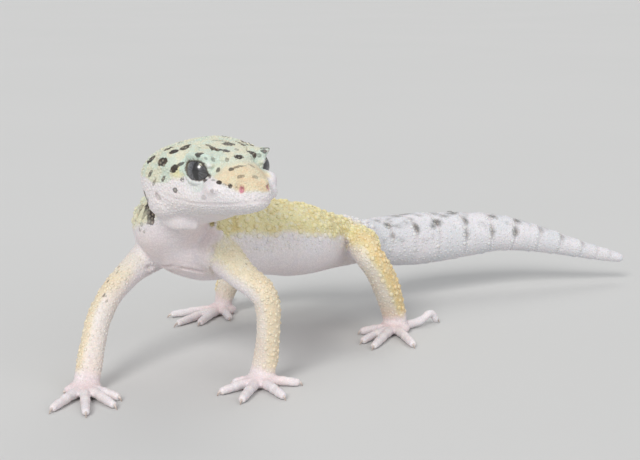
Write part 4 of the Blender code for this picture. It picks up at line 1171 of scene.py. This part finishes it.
def build_stage():
    scene = bpy.context.scene
    cam = bpy.data.objects.new("camera", bpy.data.cameras.new("camera"))
    scene.collection.objects.link(cam)
    scene.camera = cam
    cam.data.sensor_width = 36.0
    cam.data.lens = 81.17
    cam.data.clip_start = 0.001
    azimuth, down = math.radians(36.0), math.radians(10.7)
    cam.location = (np.array([203.2, -254.1, 87.0]) - ORIGIN) * MM
    ahead = Vector((-math.sin(azimuth) * math.cos(down), math.cos(azimuth) * math.cos(down), -math.sin(down)))
    cam.rotation_euler = ahead.to_track_quat("-Z", "Y").to_euler()

    bm = bmesh.new()
    # a wide level sheet
    xs = np.linspace(-14.0, 14.0, 57)
    grid = [[bm.verts.new((x, y, 0.0)) for x in xs] for y in xs]
    for a, b in zip(grid, grid[1:]):
        for j in range(len(xs) - 1):
            bm.faces.new((a[j], a[j + 1], b[j + 1], b[j]))
    mesh = bpy.data.meshes.new("floor")
    bm.to_mesh(mesh)
    bm.free()
    floor = new_object("floor", mesh)
    n = Net("floor_paper")
    n.put(n.shader.inputs["Base Color"], n.mix(n.noise(6, 2), (0.63, 0.63, 0.62), (0.655, 0.65, 0.642)))
    n.shader.inputs["Roughness"].default_value = 0.9
    n.shader.inputs["Specular IOR Level"].default_value = 0.15
    mesh.materials.append(n.material)

    def lamp(name, bearing, height, power, spread, colour):
        """Soft light from a bearing (degrees east of south) and a height above the floor."""
        light = bpy.data.objects.new(name, bpy.data.lights.new(name, "SUN"))
        scene.collection.objects.link(light)
        light.data.energy = power
        light.data.angle = math.radians(spread)
        light.data.color = colour
        b, h = math.radians(bearing), math.radians(height)
        light.location = (math.sin(b) * math.cos(h), -math.cos(b) * math.cos(h), math.sin(h))
        light.rotation_euler = Vector(light.location).to_track_quat("Z", "Y").to_euler()

    lamp("key", 16, 36, 1.70, 22, (1.0, 0.99, 0.97))
    lamp("fill", 78, 30, 0.55, 45, (0.97, 0.98, 1.0))
    lamp("back", 200, 50, 0.50, 40, (1.0, 0.99, 0.97))
    world = bpy.data.worlds.new("studio")
    scene.world = world
    world.use_nodes = True
    world.node_tree.nodes["Background"].inputs[0].default_value = (0.95, 0.97, 1.0, 1)
    world.node_tree.nodes["Background"].inputs[1].default_value = 0.48
    scene.view_settings.view_transform = "Standard"


# ------------------------------------------------------------------ pieces


def to_row(co):
    return (co - ORIGIN) * MM


def put_on(obj):
    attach(obj, "root")


def build_eye_pieces():
    material = eye_material()
    for side, name in ((1, "eye_left"), (-1, "eye_right")):
        turn, centre = eye_turn(side), eye_centre(side)
        bm = bmesh.new()
        bmesh.ops.create_uvsphere(bm, u_segments=96, v_segments=64, radius=1.0)
        mesh = bpy.data.meshes.new("eyeball_" + name)
        bm.to_mesh(mesh)
        bm.free()
        q = points_of(mesh)[:, [2, 0, 1]]  # the poles of the ball lie on its axis
        gaze = np.array([1.0, -side * 0.155, -0.09])
        gaze /= np.linalg.norm(gaze)
        lift = 0.20 * np.exp(-(np.arccos(np.clip(q @ gaze, -1, 1)) / 0.62) ** 2)
        q = q * (EYE_R - 0.06 + lift)[:, None]
        set_points(mesh, to_row(centre + q @ turn.T))
        fwd, up = -side * q[:, 1] - 0.62, q[:, 2] + 0.3
        store(mesh, "iris_f", fwd)
        store(mesh, "iris_u", up)
        tall = np.clip(1 - (up / 1.95) ** 2, 0, 1)
        wide = 0.56 * tall**0.8 * (1 + 0.16 * np.cos(up * 5.2)) + 0.02 * tall
        store(mesh, "slit", np.where(tall > 0, wide - np.abs(fwd), -np.hypot(fwd, np.abs(up) - 1.95)))
        mesh.shade_smooth()
        mesh.materials.append(material)
        obj = new_object("eyeball_" + name, mesh)
        put_on(obj)
        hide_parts(name)


def build_claws():
    bm = bmesh.new()
    along = []
    for centre, _, _, _, tips in HANDS.values():
        for tip in tips:
            rows = np.array(digit_rows(centre, tip))
            start = rows[-2, :3]
            reach = np.array([tip[0], tip[1], 0.10]) - start
            direction = reach / np.linalg.norm(reach)
            side = np.cross(direction, (0, 0, 1.0))
            side /= np.linalg.norm(side)
            rise = np.cross(side, direction)
            rings = []
            for k in range(9):
                t = k / 8
                at = start + reach * t + rise * (0.34 * math.sin(math.pi * min(t * 1.05, 1)) * (1 - 0.25 * t))
                r = 0.36 * (1 - t) ** 0.72 + 0.045
                rings.append([at + side * (math.cos(a) * r * 0.72) + rise * (math.sin(a) * r)
                              for a in (2 * math.pi * j / 12 for j in range(12))])
                along += [t] * 12
            add_rings(bm, rings)
            along += [0.0, 1.0]
    bmesh.ops.recalc_face_normals(bm, faces=bm.faces)
    mesh = bpy.data.meshes.new("claws")
    bm.to_mesh(mesh)
    bm.free()
    co = points_of(mesh)
    co[:, 2] = np.maximum(co[:, 2], 0.02)
    set_points(mesh, to_row(co))
    store(mesh, "along", along)
    mesh.shade_smooth()
    mesh.materials.append(claw_material())
    put_on(new_object("claws", mesh))


FLESH = ["head", "neck", "trunk_front", "trunk_rear", "tail_base", "tail_middle", "tail_tip"]
for _limb in ("arm", "leg"):
    for _side in ("left", "right"):
        FLESH += [f"{_limb}_{_side}_upper", f"{_limb}_{_side}_lower"]
FLESH += ["hand_left", "hand_right", "foot_left", "foot_right"]


def build_skin_piece():
    mesh = thinned(build_skin())
    co, no = points_of(mesh), normals_of(mesh)
    s = survey(co)
    marks = markings(co, no, s)
    for key in MARKS:
        store(mesh, key, marks[key])
    set_points(mesh, to_row(co))
    mesh.shade_smooth()
    mesh.materials.append(hide_material("gecko_hide", False))
    obj = new_object("gecko_skin", mesh)
    put_on(obj)
    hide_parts(*FLESH)
    return co, no, s, marks


# ------------------------------------------------------------------ tubercles and granules


def dome(points, levels):
    """Closed dome of unit radius and height: rings of (radius, height), then the apex; with its triangles."""
    verts, faces = [], []
    for k, (r, z) in enumerate(levels):
        for j in range(points):
            a = 2 * math.pi * (j + 0.5 * (k % 2)) / points
            verts.append((r * math.cos(a), r * math.sin(a), z))
    for k in range(len(levels) - 1):
        for j in range(points):
            a, b = k * points + j, k * points + (j + 1) % points
            c, d = a + points, b + points
            faces += [(a, b, d if k % 2 else c), ((a, d, c) if k % 2 else (b, d, c))]
    apex = len(verts)
    verts.append((0.0, 0.0, 1.0))
    last = (len(levels) - 1) * points
    faces += [(last + j, last + (j + 1) % points, apex) for j in range(points)]
    faces += [(0, j + 1, j) for j in range(1, points - 1)]
    return np.array(verts), np.array(faces)


LARGE = dome(10, [(1.0, -0.30), (0.96, 0.22), (0.74, 0.62), (0.38, 0.92)])
MIDDLE = dome(8, [(1.0, -0.30), (0.92, 0.30), (0.56, 0.80)])
SMALL = dome(6, [(1.0, -0.40), (0.72, 0.60)])


def lie_of(s):
    """Direction towards the tail or the toes, by region."""
    i = nearest(s["p"], TORSO.c)
    way = -TORSO.ahead[i] * s["w"]["torso"][:, None]
    way = way - s["w"]["head"][:, None] * HEAD_TURN[:, 0]
    for name, line in LIMB_LINES.items():
        way = way + line.ahead[nearest(s["p"], line.c)] * s["w"][name][:, None]
    for name, (centre, _, _, _, _) in HANDS.items():
        out = s["p"] - np.array([*centre, PALM_Z])
        way = way + out / np.maximum(np.linalg.norm(out, axis=1), 1e-6)[:, None] * s["w"][name][:, None]
    return way


def chart_of(s):
    """Each point's place on an unwrap of the skin: one strip for each region, cut along its underside."""
    uv = np.zeros((len(s["p"]), 2))
    arc, _, _, angle = s["torso"]
    places = {"torso": (arc / TORSO.arc[-1], angle)}
    f, l, u = s["h"].T
    places["head"] = ((f + 21.0) / 34.5, np.arctan2(u + 3.5, l))
    for name, line in LIMB_LINES.items():
        arc, _, _, angle = s[name]
        places[name] = (arc / line.arc[-1], angle)
    for name, (centre, _, _, _, _) in HANDS.items():
        places[name] = ((s["p"][:, 0] - centre[0] + 16) / 32, np.pi * (s["p"][:, 1] - centre[1]) / 16.0)
    strips = {"torso": (0.02, 0.02, 0.96, 0.30), "head": (0.02, 0.34, 0.46, 0.30), "arm_left": (0.52, 0.34, 0.46, 0.07),
              "arm_right": (0.52, 0.42, 0.46, 0.07), "leg_left": (0.52, 0.50, 0.46, 0.07), "leg_right": (0.52, 0.58, 0.46, 0.07),
              "hand_left": (0.02, 0.68, 0.22, 0.22), "hand_right": (0.26, 0.68, 0.22, 0.22),
              "foot_left": (0.50, 0.68, 0.22, 0.22), "foot_right": (0.74, 0.68, 0.22, 0.22)}
    for k, name in enumerate(s["names"]):
        x, turn = places[name]
        turn = (turn + np.pi / 2) % (2 * np.pi) / (2 * np.pi)
        here = s["region"] == k
        x0, y0, w, h = strips[name]
        uv[here, 0] = x0 + np.clip(x[here], 0, 1) * w
        uv[here, 1] = y0 + turn[here] * h
    return uv


def spread_out(tree, co, allowed, spacing, blocked, seed):
    """Points a varying distance apart, in a seeded order."""
    order = np.random.default_rng(seed).permutation(np.nonzero(allowed)[0])
    blocked, picked = blocked.copy(), []
    for i in order:
        if not blocked[i]:
            picked.append(i)
            for _, j, _ in tree.find_range(co[i], float(spacing[i])):
                blocked[j] = True
    return np.array(picked, int)


def build_scales(name, shape, roots, radius, height, lean, base, material):
    """One mesh of scales, each shaped like the dome, coloured like the skin under its root."""
    verts, faces = shape
    co, no, way, uv, marks = (base[k] for k in ("co", "no", "way", "uv", "marks"))
    n = no[roots]
    along = way[roots] - n * (way[roots] * n).sum(1)[:, None]
    along /= np.maximum(np.linalg.norm(along, axis=1), 1e-6)[:, None]
    across = np.cross(n, along)
    rng = np.random.default_rng(len(roots))
    r = radius[roots] * rng.uniform(0.86, 1.12, len(roots))
    h = height[roots] * rng.uniform(0.80, 1.15, len(roots))
    shift = lean * np.clip(verts[:, 2], 0, 1) ** 1.5
    x = (verts[:, 0] * 1.06 + shift)[None] * r[:, None]
    y = (verts[:, 1] * 0.96)[None] * r[:, None]
    z = verts[:, 2][None] * h[:, None]
    points = co[roots][:, None] + x[..., None] * along[:, None] + y[..., None] * across[:, None] + z[..., None] * n[:, None]
    points[..., 2] = np.maximum(points[..., 2], 0.02)
    k = len(verts)
    tris = (faces[None] + (np.arange(len(roots)) * k)[:, None, None]).reshape(-1, 3)
    mesh = bpy.data.meshes.new(name)
    mesh.vertices.add(len(roots) * k)
    mesh.loops.add(len(tris) * 3)
    mesh.polygons.add(len(tris))
    mesh.vertices.foreach_set("co", to_row(points.reshape(-1, 3)).ravel())
    mesh.loops.foreach_set("vertex_index", tris.ravel().astype(np.int32))
    mesh.polygons.foreach_set("loop_start", np.arange(0, len(tris) * 3, 3, dtype=np.int32))
    mesh.update(calc_edges=True)
    mesh.validate()
    for key in MARKS:
        store(mesh, key, np.repeat(marks[key][roots], k))
    store(mesh, "tip", np.tile(np.clip(verts[:, 2], 0, 1), len(roots)))
    layer = mesh.uv_layers.new(name="OFBake")
    place = uv[roots][:, None] + verts[None, :, :2] * 0.00135
    layer.data.foreach_set("uv", place.reshape(-1, 2)[tris.ravel()].ravel())
    mesh.shade_smooth()
    mesh.materials.append(material)
    obj = new_object(name, mesh)
    put_on(obj)
    return obj


def build_coat(co, no, s, marks):
    material = hide_material("gecko_scales", True)
    base = {"co": co, "no": no, "way": lie_of(s), "uv": chart_of(s), "marks": marks}
    tree = KDTree(len(co))
    for i, p in enumerate(co):
        tree.insert(p, i)
    tree.balance()
    w, (f, l, u) = s["w"], s["h"].T
    _, station, _, angle = s["torso"]
    high = np.sin(angle)
    hands = sum(w[n] for n in HANDS)
    limbs = sum(w[n] for n in LIMBS)
    eyes = np.minimum(*[eye_place(co, side)[4] for side in (1, -1)])
    mouth_f, mouth_u = np.array(MOUTH).T
    lips = np.abs(u - np.interp(f, mouth_f, mouth_u))
    size = 1 + 0.12 * smooth_noise(co, 2.5, 21)
    blocked = np.zeros(len(co), bool)

    def block(roots, reach):
        for i in roots:
            for _, j, _ in tree.find_range(co[i], float(reach[i])):
                blocked[j] = True

    # large tubercles: over the back and the sides of the neck, in loose rows
    trunk = (w["torso"] > 0.6) & (station > 8.3)
    level = np.interp(station, [8, 10, 12, 14, 15, 16, 18], [0.30, 0.02, 0.10, 0.20, 0.0, -0.35, -0.35])
    zone = trunk & (high > level)
    radius, height = 0.66 * size, 0.46 * size * (0.6 + 0.4 * ramp(high - level, 0.0, 0.5))
    roots = spread_out(tree, co, zone, 1.86 * size, blocked, 31)
    build_scales("tubercles_back", LARGE, roots, radius, height, 0.30, base, material)
    block(roots, radius * 1.12)
    # tubercles of the legs and arms, on their coloured side
    band = np.clip(marks["yellow"] + marks["gold"], 0, 1)
    zone = (limbs > 0.6) & (marks["yellow"] > 0.42)
    legs = w["leg_left"] + w["leg_right"]
    radius = (0.42 + 0.12 * legs) * size * (0.75 + 0.25 * band)
    height = (0.24 + 0.12 * legs) * size * (0.5 + 0.5 * band)
    roots = spread_out(tree, co, zone, (1.12 + 0.28 * legs) * size, blocked, 32)
    build_scales("tubercles_limbs", MIDDLE, roots, radius, height, 0.25, base, material)
    block(roots, radius * 1.1)
    # tubercles of the tail: low, in rings along the hind edge of each whorl
    arc = s["torso"][0]
    ring = np.min([np.abs(arc - at - 1.2) for at in WHORLS], axis=0)
    tail = (w["torso"] > 0.6) & (station <= 8.3) & (arc > 3.0)
    girth = np.interp(arc, TORSO.arc, TORSO.size[:, 0])
    zone = tail & (ring < 0.55) & (high > -0.35)
    radius, height = 0.20 + 0.055 * girth, 0.05 + 0.018 * girth
    roots = spread_out(tree, co, zone, radius * 3.3, blocked, 33)
    build_scales("tubercles_tail", MIDDLE, roots, radius, height, 0.45, base, material)
    block(roots, radius * 1.05)
    # granules of the head: finest on the snout and lips
    zone = (w["head"] > 0.6) & (eyes > 0.95) & (u > -8.6) & (lips > 0.32)
    for side in (1, -1):
        at = np.array([NOSTRIL_AT[0], NOSTRIL_AT[1] * side + SNOUT_BEND, NOSTRIL_AT[2]])
        zone &= np.linalg.norm(s["h"] - at, axis=1) > 0.7
    rear = ramp(-f, -4, 10)
    radius = (0.27 + 0.10 * rear) * size
    height = (0.075 + 0.08 * rear * ramp(u, -4, 1)) * size
    roots = spread_out(tree, co, zone, radius * 2.05, blocked, 34)
    build_scales("granules_head", SMALL, roots, radius, height, 0.15, base, material)
    # small granules between the tubercles and down the flanks
    zone = trunk & (high > level - 0.30)
    radius, height = 0.34 * size, 0.13 * size * (0.35 + 0.65 * ramp(high - level, -0.3, 0.1))
    roots = spread_out(tree, co, zone, radius * 2.1, blocked, 35)
    build_scales("granules_trunk", SMALL, roots, radius, height, 0.2, base, material)
    zone = (limbs > 0.5) & (hands < 0.3) & (w["torso"] < 0.45)
    radius, height = 0.30 * size, (0.045 + 0.05 * ramp(band, 0.02, 0.4)) * size
    roots = spread_out(tree, co, zone, radius * 2.15, blocked, 36)
    build_scales("granules_limbs", SMALL, roots, radius, height, 0.2, base, material)
    zone = tail & (high > -0.75)
    radius, height = (0.22 + 0.022 * girth) * size, (0.04 + 0.006 * girth) * size
    roots = spread_out(tree, co, zone, radius * 2.15, blocked, 37)
    build_scales("granules_tail", SMALL, roots, radius, height, 0.3, base, material)


build_stage()
laid = build_skin_piece()
build_coat(*laid)
build_eye_pieces()
build_claws()
